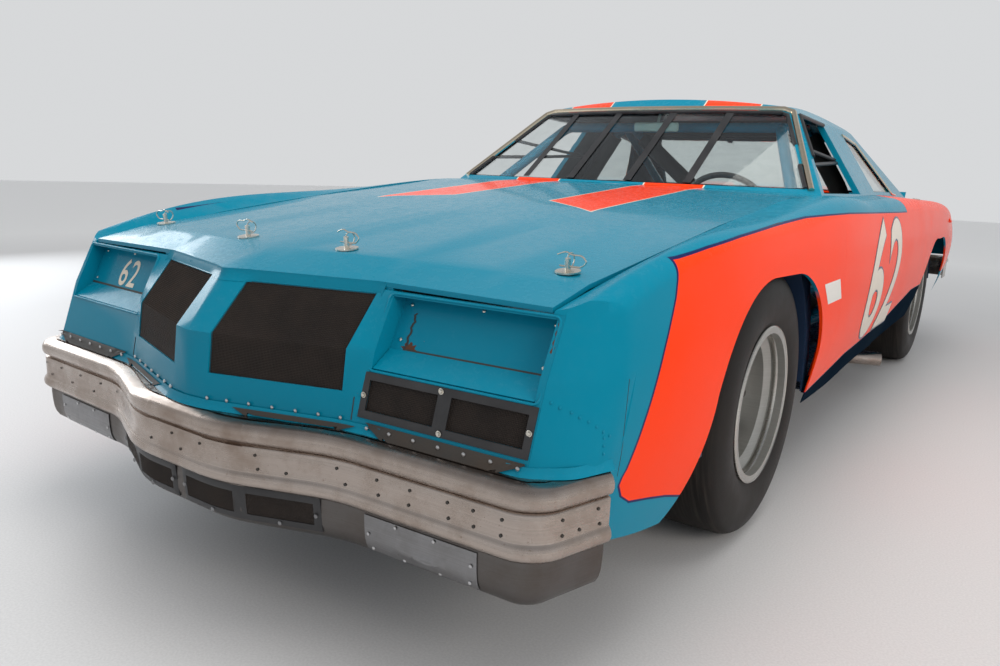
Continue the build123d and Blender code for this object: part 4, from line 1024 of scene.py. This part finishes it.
strips, lip_places = [], []
for side, _ in SIDES:
    for x_low, x_high, z_low, z_high in LENSES:
        strips.append(lens_strip(*mirrored_span(side, x_low, x_high), z_low, z_high))
    for x, z in [(x, LIP_RIVET_Z) for x in LIP_RIVETS] + [(x, LENS_RIVET_Z) for x in LENS_RIVETS]:
        found = lip_skin.ray_cast(at_body(side * x, AHEAD_Y, z), FORWARD)
        if found[0]:
            lip_places.append((found[0] - FORWARD * RIVET_OUT, -FORWARD))
finish_piece(join_all(strips), "lip_rubber", DARK_STEEL, slot="black_mesh")
rivets(0.0044, 0.0024, lip_places, "lip_rivets", RIVET_METAL)

# %% [markdown]
# ## Bumper
# The bumper is one pressed sheet of bare steel: a broad roll along the top, a dark groove, a flat band with two rows of
# small holes where a trim strip was once held, and a thinner roll at the bottom. Its section is swept along the plan
# line of the nose, which is a V with square corners, and it replaces the plainer solid.

# %% Front bumper
BUMPER_PLAN = [(-888, -938), (-838, -1108), (-385, -1128), (-150, -1222), (150, -1222), (385, -1128), (838, -1108),
               (888, -938)]
BUMPER_ROWS = [(431, -74), (434, -45), (435, -28), (434, -14), (430, -4), (424, 3), (415, 7), (405, 7), (397, 4),
               (393, -1), (391, -7), (388, -8), (386, -6), (385, -1), (383, 0), (366, 0), (350, 0), (334, 0),
               (331, 1), (328, 4), (322, 7), (314, 8), (307, 6), (302, 1), (300, -6), (300, -16)]
BUMPER_MIDDLE = at_body(0, 0, 350)
bumper = finish_piece(swept_sheet(BUMPER_PLAN, BUMPER_ROWS, 0.055, 0.003), "bumper_skin", STEEL, smooth=50,
                      stands_for=["front_bumper"])

# %% Bumper holes
UPPER_HOLES = [-790, -700, -590, -480, -381, -10, 89, 228, 400, 499, 578, 663, 718, 777]
LOWER_HOLES = [-760, -640, -520, -90, 20, 233, 292, 420, 503, 576, 666, 720, 776]
UPPER_Z, LOWER_Z = 371, 342
SIDE_HOLES = [(-1050, 372), (-1049, 343), (-1010, 344), (-968, 372), (-962, 342)]
rays = [(at_body(x, AHEAD_Y, UPPER_Z), FORWARD) for x in UPPER_HOLES]
rays += [(at_body(x, AHEAD_Y, LOWER_Z), FORWARD) for x in LOWER_HOLES]
rays += [(at_body(side * BESIDE_X, y, z), Vector((-side, 0, 0))) for y, z in SIDE_HOLES for side, _ in SIDES]
bumper_skin = skin_of(bumper)
found_places = [bumper_skin.ray_cast(*ray)[:2] for ray in rays]
hole_places = [(place, normal if normal.dot(place - BUMPER_MIDDLE) > 0 else -normal)
               for place, normal in found_places if place]
rivets(0.0034, 0.0005, hole_places, "bumper_holes", DARK_STEEL)

# %% [markdown]
# ## Valance
# Under the bumper hangs one bare sheet, set back a little, that rolls under at its lower edge. It carries a pair of
# black framed duct screens each side of the middle, and a riveted patch plate near each corner.

# %% Valance sheet
VALANCE_ROWS = [(312, -9), (300, -9), (280, -9), (260, -10), (240, -12), (226, -16), (214, -23), (206, -33),
                (202, -46), (200, -64), (200, -80)]
VALANCE_Y = -1120
valance = finish_piece(swept_sheet(BUMPER_PLAN, VALANCE_ROWS, 0.055, 0.003), "valance_sheet", VALANCE_STEEL,
                       smooth=50, stands_for=["front_valance"])
valance_skin = skin_of(valance)


def valance_face(x, z):
    found = valance_skin.ray_cast(at_body(x, AHEAD_Y, z), FORWARD)
    return (found[0].y - FRONT_AXLE_Y) * 1000 if found[0] else VALANCE_Y


def valance_heads(side, spots, out):
    return [(at_body(side * x, valance_face(side * x, z) - out, z), -FORWARD) for x, z in spots]


# %% Duct screens
DUCT_SPAN, DUCT_HEIGHT = (12, 356), (222, 298)
DUCT_PANES, PANE_HEIGHT = ((26, 172), (196, 342)), (236, 284)
DUCT_SCREWS = ((22, 262), (110, 228), (268, 228), (348, 258))
duct_backs, duct_wires, duct_screws = [], [], []
for side, label in SIDES:
    duct = paned_frame(*mirrored_span(side, *DUCT_SPAN), *DUCT_HEIGHT, valance_face, proud=2.0)
    finish_piece(duct, label + "_duct_frame", BLACK_PLASTIC)
    for pane in DUCT_PANES:
        duct_backs.append(stand_before(side_grid(side, *pane, *PANE_HEIGHT, 12), valance_face, 0.6))
        duct_wires.append(stand_before(side_grid(side, *pane, *PANE_HEIGHT, WIRE_PITCH), valance_face, 2.4))
    duct_screws += valance_heads(side, DUCT_SCREWS, 4.0)
finish_piece(join_all(duct_backs), "duct_backs", DARK_CORE)
finish_piece(wires(join_all(duct_wires)), "duct_wires", BLACK_MESH)
rivets(0.0052, 0.0028, duct_screws, "duct_screws", ALUMINIUM)

# %% Patch plates
PLATE = (462, 724, 213, 290)
PLATE_RIVETS = ((472, 252), (480, 222), (540, 284), (630, 284), (712, 262), (708, 226), (640, 220), (556, 219))
DENT_SHARE = {1: 1.0, -1: 0.25}
plate_rivets = []


def bump(x, z, middle_x, middle_z, width, height):
    return math.exp(-((abs(x) - middle_x) / width) ** 2 - ((z - middle_z) / height) ** 2)


for side, label in SIDES:
    plate, dent = side_grid(side, *PLATE, 6), DENT_SHARE[side]
    for vertex in plate.data.vertices:
        x, z = body_xz(vertex)
        push = dent * 11 * bump(x, z, 612, 226, 52, 20)
        ripple = dent * 3 * bump(x, z, 560, 240, 30, 16)
        vertex.co.y = at_body(0, valance_face(x, z) - 2.2 - push * 0.8 - ripple, 0).y
        if z < 232:
            vertex.co.z += push * 0.7 / 1000
    finish_piece(thicken(plate, 0.0015), label + "_patch_plate", ALUMINIUM, smooth=60)
    plate_rivets += valance_heads(side, PLATE_RIVETS, 3.2)
rivets(0.0036, 0.0018, plate_rivets, "patch_rivets", RIVET_METAL)

# %% [markdown]
# ## Patch and seams at the front corner
# The left corner was repaired with a riveted patch under the paint. Rivet heads follow its edge, and narrow dark seams
# show where sheets meet. Each is set on the skin by a ray.

# %% Corner patch rivets and seams
PATCH_FRONT = [(803, 560), (816, 552), (832, 544), (843, 535), (854, 526), (863, 516), (870, 505)]
PATCH_SIDE = [(-945, 494), (-946, 480), (-947, 466), (-932, 496)]
patch_places = [front_hit(["left_fender"], x, z) for x, z in PATCH_FRONT]
patch_places += [side_hit(["left_fender"], y, z) for y, z in PATCH_SIDE]
rivets(0.0030, 0.0013, patch_places, "corner_patch_rivets", BLUE_PAINT)


def seam(places, name, radius=0.0011):
    finish_piece(tube([p[0] + p[1] * 0.0002 for p in places if p], radius, sides=1), name, DARK_STEEL)


seam([side_hit(["left_fender"], -898 + (z - 400) * 0.11, z) for z in range(590, 400, -20)], "left_corner_seam", 0.0005)
for side, label in SIDES:
    seam([front_hit(["nose_panel"], side * (388 - (z - 455) * 0.01), z) for z in range(500, 454, -9)],
         label + "_lobe_seam")

# %% [markdown]
# ## Wheels
# Wide steel racing wheels: the outer flange is curled over, and a second step runs round inside it. The curl is one
# small section spun round the axle and laid over the flat edge of the solid rim. Hexagon nuts hold the wheel.

# %% Wheel flanges and nuts
FLANGE = [(126, 222), (131, 223), (135, 221.5), (136, 219), (133, 217), (124, 216), (116, 214), (113, 210), (115, 206),
          (116, 203), (113, 200), (104, 199), (98, 199)]
NUT_COUNT, LUG_CIRCLE, NUT_FOOT = 5, 0.082, 0.041
for corner in CORNERS:
    side = 1 if corner.endswith("left") else -1
    axle_y = FRONT_AXLE_Y if corner.startswith("front") else REAR_AXLE_Y
    drawn_line([Vector((side * (WHEEL_X + along / 1000), axle_y, AXLE_Z + radius / 1000)) for along, radius in FLANGE])
    open_edit()
    bpy.ops.mesh.spin(steps=96, angle=math.tau, center=(side * WHEEL_X, axle_y, AXLE_Z), axis=(1, 0, 0))
    bpy.ops.mesh.select_all(action="SELECT")
    bpy.ops.mesh.remove_doubles(threshold=0.00002)
    bpy.ops.mesh.normals_make_consistent(inside=False)
    finish_piece(thicken(close_edit(), 0.0015), corner + "_flange", RIM_BRIGHT, body=corner + "_wheel", smooth=50)
    nut_places = []
    for index in range(NUT_COUNT):
        angle = math.tau * index / NUT_COUNT
        centre = Vector((side * (WHEEL_X + NUT_FOOT), axle_y + LUG_CIRCLE * math.cos(angle),
                         AXLE_Z + LUG_CIRCLE * math.sin(angle)))
        nut_places.append((centre, Vector((side, 0, 0))))
    finish_piece(scatter(bolt_head(0.0125, 0.014), nut_places), corner + "_nuts", DARK_STEEL, body=corner + "_wheel",
                 slot="wheel_steel")

# %% [markdown]
# ## Arch liners
# Over each front tyre a flat navy half ring closes the gap between the wheel house and the fender.

# %% Arch liners
LINER_X, LINER_INNER, LINER_OUTER, LINER_DROP = 0.872, 0.436, 0.500, 0.03
LINER_SWEEP = math.pi * 1.06
for side, label in SIDES:
    drawn_line([Vector((side * LINER_X, FRONT_AXLE_Y - reach, AXLE_Z - LINER_DROP))
                for reach in (LINER_INNER, LINER_OUTER)])
    open_edit()
    bpy.ops.mesh.spin(steps=64, angle=LINER_SWEEP, center=(side * 0.870, FRONT_AXLE_Y, AXLE_Z), axis=(1, 0, 0))
    finish_piece(thicken(close_edit(), 0.001), label + "_arch_liner", INNER_PAINT)

# %% [markdown]
# ## Hood pins
# Four posts come up through the hood, and a bent wire clip through each post holds the hood shut. The posts and their
# plates are solids already. The clip is one line of wire with rounded corners.

# %% Hood pin clips
HOOD_PINS = [(174, -890), (690, -790)]
BESIDE_PIN = 40
CLIP = [(-20, 0), (30, 0), (42, 12), (30, 24), (6, 24), (-6, 30), (-26, 22)]
clips = []
for side, _ in SIDES:
    for x, y in HOOD_PINS:
        foot, up, _ = top_hit(["hood"], side * (x + BESIDE_PIN), y)
        across = Vector((side, 0, 0))
        base = foot - across * (BESIDE_PIN / 1000) + up * 0.017
        clips.append(tube([base + across * (out / 1000) + up * (rise / 1000) for out, rise in CLIP], 0.0017, 0.006))
finish_piece(join_all(clips), "hood_pin_clips", PIN_METAL, body="hood", slot="pin_steel")

# %% [markdown]
# ## Windshield and window trims
# A bright gold-toned chrome strip runs up the sides of the windshield and over its top, with a black rubber seal inside
# it. The quarter windows have a thinner strip, and small bolts hold its foot. A ray through the open side window can
# reach the far side of the cabin, and such a point is left out.

# %% Trims and seals
GLASS_NODES = ["roof_shell", "windshield", "cowl_panel"]
TRIM = [(-756, 930), (-568, 1226), (-528, 1239), (-300, 1239), (0, 1239), (300, 1239), (528, 1239), (568, 1226),
        (756, 930)]
SEAL = [(-735, 936), (-551, 1214), (-525, 1223), (-300, 1224), (0, 1224), (300, 1224), (525, 1223), (551, 1214),
        (735, 936)]
QUARTER_LINE = [(1893, 1188), (2128, 1160), (2376, 925), (2470, 921)]
DOOR_LINE = [(822, 932), (1121, 1212), (1130, 1216), (1528, 1207)]
FOOT_BOLTS = ((2395, 905), (2440, 903), (2485, 901))
NEAR_SIDE_X = 0.35


def window_path(names, corners, side=None, steps=7):
    spots = [[start[k] + (stop[k] - start[k]) * step / steps for k in (0, 1)]
             for start, stop in zip(corners, corners[1:]) for step in range(steps)] + [corners[-1]]
    points = [side_hit(names, *spot, side) if side else front_hit(names, *spot) for spot in spots]
    return [p[0] + p[1] * 0.001 for p in points if p and (side is None or p[0].x * side > NEAR_SIDE_X)]


finish_piece(tube(window_path(GLASS_NODES, TRIM), 0.0115, 0.010, sides=3), "windshield_trim", CHROME)
finish_piece(tube(window_path(GLASS_NODES, SEAL), 0.0080, 0.008), "windshield_seal", BLACK_PLASTIC)
for side, label in SIDES:
    beside = ["roof_shell", label + "_quarter"]
    finish_piece(tube(window_path(beside, QUARTER_LINE, side), 0.0060, 0.010), label + "_quarter_trim", CHROME)
    finish_piece(tube(window_path(["roof_shell"], DOOR_LINE, side), 0.0085, 0.012), label + "_door_seal", BLACK_PLASTIC)
    foot_bolts = [side_hit(beside, y, z, side) for y, z in FOOT_BOLTS]
    rivets(0.007, 0.003, foot_bolts, label + "_trim_bolts", CHROME)

# %% [markdown]
# ## Foam on the roll cage
# Thick black foam sleeves are taped round the main hoop and its diagonal, where the driver's head and arms could hit.

# %% Cage padding
HOOP_Y, HOOP_X, HOOP_TOP = 1700, 680, 1203
SLEEVES = {
    "hoop_left_padding": [(HOOP_X, HOOP_Y, 700), (HOOP_X, HOOP_Y, 880), (500, HOOP_Y, 1165)],
    "hoop_right_padding": [(-HOOP_X, HOOP_Y, 700), (-HOOP_X, HOOP_Y, 880), (-500, HOOP_Y, 1165)],
    "hoop_top_padding": [(430, HOOP_Y, HOOP_TOP), (-330, HOOP_Y, HOOP_TOP)],
    "diagonal_padding": [(600, HOOP_Y, 385), (-335, HOOP_Y, 1150)],
}
for name, path in SLEEVES.items():
    tube([at_body(*p) for p in path], 0.038, 0.09, sides=5, segments=6)
    open_edit()
    bpy.ops.mesh.subdivide(number_cuts=1)
    sleeve = close_edit()
    finish_piece(sleeve, name, PADDING, smooth=60)

# %% [markdown]
# ## Race number
# The doors carry plain cream numerals with a navy edge, and one lamp cover a small pair. A text object becomes a mesh,
# is cut into bands, and every point is laid on the panel, so that the figures follow its crown like paint.

# %% Door and lamp-cover numbers
RACE_NUMBER = "62"
FIGURE_MM = 720
NUMBER_HEIGHT, NUMBER_Y, NUMBER_FOOT = 452, 1365, 385
FLANK_X, COVER_FACE_Y = 925, -985


def numerals(height, weight, names, side, centre, z_low, out, material, name, width=1.0, step=0.022):
    all_clear()
    bpy.ops.object.text_add(location=(0, 0, 0))
    text = bpy.context.object
    text.data.body = RACE_NUMBER
    text.data.align_x = "CENTER"
    text.data.size = height / FIGURE_MM
    text.data.offset = weight
    text.data.space_character = 1.10
    bpy.ops.object.convert(target="MESH")
    shape = bpy.context.object
    shape.scale = (width, 1, 1)
    settle(shape)
    low = [min(v.co[axis] for v in shape.data.vertices) for axis in (0, 1)]
    high = [max(v.co[axis] for v in shape.data.vertices) for axis in (0, 1)]
    middle = (low[0] + high[0]) / 2
    open_edit("VERT")
    for axis in (0, 1):
        cut = low[axis] + step
        while cut < high[axis]:
            bpy.ops.mesh.select_all(action="SELECT")
            bpy.ops.mesh.bisect(plane_co=(cut, cut, 0), plane_no=(1 - axis, axis, 0))
            cut += step
    close_edit()
    for vertex in shape.data.vertices:
        along, z = (vertex.co.x - middle) * 1000, z_low + vertex.co.y * 1000
        found = side_hit(names, centre + side * along, z, side) if side else front_hit(names, centre + along, z)
        if found:
            vertex.co = found[0] + Vector((side, 0, 0) if side else (0, -1, 0)) * out
        else:
            flat = (side * FLANK_X, centre + side * along, z) if side else (centre + along, COVER_FACE_Y, z)
            vertex.co = at_body(*flat)
    finish_piece(shape, name, material, smooth=60)


for side, label in SIDES:
    flank = [label + "_door", label + "_quarter", label + "_fender"]
    numerals(NUMBER_HEIGHT, 0.020, flank, side, NUMBER_Y, NUMBER_FOOT, 0.0006, NAVY_PAINT, label + "_number_edge", 1.02)
    numerals(NUMBER_HEIGHT, 0.012, flank, side, NUMBER_Y, NUMBER_FOOT, 0.0012, NUMBER_PAINT, label + "_number", 1.02)
numerals(70, 0.001, ["lamp_covers"], 0, -588, 600, 0.0008, NUMBER_PAINT, "lamp_cover_number", 0.95, 0.01)

# %% [markdown]
# ## Blank label
# Ahead of the number each side has one plain white four-sided label with nothing on it.

# %% Blank labels
BLANK = [(375, 653), (550, 657), (595, 589), (438, 585)]
for side, label in SIDES:
    blank = upright_grid(0, 100, 0, 100, 12.5)
    origin = at_body(0, 0, 0)
    for vertex in blank.data.vertices:
        u, v = (vertex.co.x - origin.x) * 10, (vertex.co.z - origin.z) * 10
        spot = [(BLANK[0][k] * (1 - u) + BLANK[1][k] * u) * v + (BLANK[3][k] * (1 - u) + BLANK[2][k] * u) * (1 - v)
                for k in (0, 1)]
        found = side_hit([label + "_fender", label + "_door"], *spot, side)
        vertex.co = found[0] + Vector((side * 0.0007, 0, 0)) if found else at_body(side * FLANK_X, *spot)
    finish_piece(blank, label + "_blank_label", WHITE_PAINT)

# %% [markdown]
# ## Windshield straps
# Four flat black straps run down the outside of the windshield, from the roof edge to the cowl, and keep the pane in
# place at speed. They stand 4 mm off the glass.

# %% Straps
STRAPS = (-372, -142, 108, 338)
STRAP_HALF_WIDTH, STRAP_FOOT, STRAP_TOP, STRAP_GAP = 15, 938, 1222, 0.004
straps = [upright_grid(x - STRAP_HALF_WIDTH, x + STRAP_HALF_WIDTH, STRAP_FOOT, STRAP_TOP, 10) for x in STRAPS]
for strap in straps:
    for vertex in strap.data.vertices:
        found = front_hit(GLASS_NODES, *body_xz(vertex))
        vertex.co = found[0] + found[1] * STRAP_GAP
finish_piece(thicken(join_all(straps), 0.0022), "windshield_straps", BLACK_PLASTIC, stands_for=["window_braces"])

# %% [markdown]
# ## Mirror
# A short wide mirror hangs from a bracket at the middle of the windshield header.

# %% Mirror
all_clear()
bpy.ops.mesh.primitive_cube_add(size=1, location=at_body(0, 1099, 1168))
shell = bpy.context.object
shell.scale = (0.205, 0.020, 0.040)
settle(shell)
soften(shell, 0.0095, 4)
bake(shell)
stalk = tube([at_body(0, 1108, 1180), at_body(0, 1122, 1200), at_body(0, 1130, 1222)], 0.006, 0.01)
finish_piece(join_all([shell, stalk]), "rear_view_mirror", MIRROR_SHELL, stands_for=["mirror"])

# %% [markdown]
# ## Hood edge strip
# The painted front edge of the hood laps over the nose between the lamps, so that no dark gap shows above the screens.

# %% Hood edge strip
STRIP_PITCH, STRIP_REACH = 18, 378
STRIP_ROWS = (-17, -11, 3, 9)
strip = upright_grid(-STRIP_REACH, STRIP_REACH, 0, 54, STRIP_PITCH)
lowest = {x: next(z for z in range(600, 760) if front_hit(["hood"], x, z))
          for x in range(-STRIP_REACH, STRIP_REACH + 1, STRIP_PITCH)}
for vertex in strip.data.vertices:
    x, z = body_xz(vertex)
    edge, rise = lowest[round(x)], STRIP_ROWS[round(z / STRIP_PITCH)]
    names, away = (["hood"], 1) if rise > 0 else (["nose_panel", "mesh_screens", "lamp_covers"], -1)
    found = next(filter(None, (front_hit(names, round(x), edge + rise + away * shift) for shift in range(90))))
    vertex.co = found[0] + Vector((0, -0.5, 0.86)) * 0.0007
finish_piece(thicken(strip, 0.0005, 0), "hood_edge_strip", BLUE_PAINT, body="hood", smooth=60)
print("hood edge lies at", sorted(set(lowest.values())))

# %% [markdown]
# ## Seat pads
# The bucket seat is a dark shell with two loose black pads. Each pad starts as a rounded slab and is blown up like a
# small balloon by a cloth simulation, then sewn down along its channels.

# %% Seat pads
PAD_CAP, PAD_FRAMES = 0.012, 20
CHANNEL_DEPTH, CHANNEL_WIDTH = 0.008, 0.008


def swell(pad):
    start = [v.co.copy() for v in pad.data.vertices]
    cloth = pad.modifiers.new("swell", "CLOTH")
    cloth.settings.use_pressure = True
    cloth.settings.uniform_pressure_force = 4.0
    cloth.settings.effector_weights.gravity = 0.0
    for frame in range(1, PAD_FRAMES + 1):
        bpy.context.scene.frame_set(frame)
    swollen = pad.evaluated_get(bpy.context.evaluated_depsgraph_get()).data
    ends = [v.co.copy() for v in swollen.vertices]
    pad.modifiers.remove(cloth)
    bpy.context.scene.frame_set(1)
    for vertex, first, last in zip(pad.data.vertices, start, ends):
        moved = last - first
        vertex.co = first + moved * min(1.0, PAD_CAP / max(moved.length, 1e-6))


def seat_pad(name, centre, size, tilt, channels):
    all_clear()
    bpy.ops.mesh.primitive_cube_add(size=1)
    pad = bpy.context.object
    pad.scale = size
    settle(pad)
    soften(pad, 0.014, 3)
    blocks = pad.modifiers.new("even_mesh", "REMESH")
    blocks.mode, blocks.voxel_size = "VOXEL", 0.006
    bake(pad)
    swell(pad)
    for vertex in pad.data.vertices:
        nearest = min(abs(vertex.co.y - line * size[1]) for line in channels)
        if vertex.co.z > 0:
            vertex.co.z -= CHANNEL_DEPTH * math.exp(-(nearest / CHANNEL_WIDTH) ** 2)
    finer = pad.modifiers.new("smooth_cloth", "SUBSURF")
    finer.levels = finer.render_levels = 1
    bake(pad)
    pad.rotation_euler = (tilt, 0, 0)
    pad.location = at_body(*centre)
    finish_piece(pad, name, SEAT_CLOTH, smooth=70)


seat_pad("seat_base_pad", centre=(360, 1300, 402), size=(0.335, 0.245, 0.034), tilt=-0.056, channels=(-0.17, 0.17))
seat_pad("seat_back_pad", centre=(360, 1500, 632), size=(0.335, 0.420, 0.034), tilt=math.radians(75),
         channels=(-0.30, -0.10, 0.10, 0.30))

# %% [markdown]
# ## Gauges
# Five round dials sit in the dash. Each has a bright bezel ring, a black face with a row of pale marks and a needle.

# %% Gauge faces
GAUGE_NORMAL = Vector((0, 0.985, 0.174))
MARK_RADIUS = 0.0235
DIAL_COUNT, FIRST_DIAL_X, DIAL_PITCH, DIAL_OUT = 5, 180, 90, 0.0085
dials = [(at_body(FIRST_DIAL_X + DIAL_PITCH * i, 890, 820) + GAUGE_NORMAL * DIAL_OUT, GAUGE_NORMAL)
         for i in range(DIAL_COUNT)]
all_clear()
bpy.ops.mesh.primitive_torus_add(major_radius=0.031, minor_radius=0.0028, major_segments=48, minor_segments=10)
finish_piece(scatter(bpy.context.object, dials), "gauge_bezels", CHROME)
all_clear()
bpy.ops.mesh.primitive_cylinder_add(vertices=48, radius=0.0300, depth=0.001)
finish_piece(scatter(bpy.context.object, dials), "gauge_faces", BLACK_PLASTIC)


def bar(x, y, z, turn, size):
    all_clear()
    bpy.ops.mesh.primitive_cube_add(size=1, location=(x, y, z), rotation=(0, 0, turn))
    bpy.context.object.scale = size
    return bpy.context.object


marks = [bar(MARK_RADIUS * math.sin(angle), MARK_RADIUS * math.cos(angle), 0.0008, -angle, (0.0013, 0.0060, 0.0004))
         for angle in (math.radians(-120 + 30 * step) for step in range(9))]
marks.append(bar(0.004, 0.008, 0.0016, -0.45, (0.0014, 0.026, 0.0006)))
finish_piece(scatter(join_all(marks), dials), "gauge_marks", WHITE_PAINT, slot="black_mesh")

# %% [markdown]
# ## Tail
# The tail lamps have thin bright bezels with two ribs each, round-headed bolts hold the bumper, and a round cover
# closes the unused filler place on the right side.

# %% Tail lamps, bumper bolts and cover
LAMP_NODES = ["tail_lamps", "tail_panel"]
LAMP_CORNERS = [(474, 644), (776, 644), (776, 766), (474, 766)]
RIB_ENDS, RIB_HEIGHTS = (480, 770), (685, 725)
COVER_Y, COVER_Z, COVER_RADIUS, COVER_REACH = 3420, 815, 66, 95
BOLT_XS, BOLT_Z = (150, 430, 700), 432


def back_hit(names, x, z):
    return hit(names, at_body(x, BEHIND_Y, z), -FORWARD)


for side, label in SIDES:
    corners = [back_hit(LAMP_NODES, side * x, z) for x, z in LAMP_CORNERS]
    rim = tube([p[0] + p[1] * 0.001 for p in corners], 0.006, 0.014, closed=True)
    ribs = [tube([back_hit(LAMP_NODES, side * x, z)[0] + FORWARD * 0.002 for x in RIB_ENDS], 0.003, sides=1)
            for z in RIB_HEIGHTS]
    finish_piece(join_all([rim] + ribs), label + "_tail_bezel", CHROME)
bumper_bolts = [back_hit(["rear_bumper"], side * x, BOLT_Z) for x in BOLT_XS for side, _ in SIDES]
rivets(0.013, 0.006, bumper_bolts, "rear_bumper_bolts", CHROME)

all_clear()
bpy.ops.mesh.primitive_circle_add(vertices=40, radius=COVER_RADIUS / 1000, fill_type="TRIFAN")
open_edit()
bpy.ops.mesh.subdivide(number_cuts=4)
cover = close_edit()
for vertex in cover.data.vertices:
    y, z = COVER_Y - vertex.co.x * 1000, COVER_Z + vertex.co.y * 1000
    beside = [side_hit(["right_quarter"], edge, z, -1)[0].x for edge in (COVER_Y - COVER_REACH, COVER_Y + COVER_REACH)]
    vertex.co = at_body(sum(beside) * 500 - 1.2, y, z)
finish_piece(thicken(cover, 0.001), "right_filler_cover", SIDE_PAINT, smooth=60)

# %% [markdown]
# ## Last step
# The view layer is brought up to date.

# %% Update the view layer
bpy.context.view_layer.update()
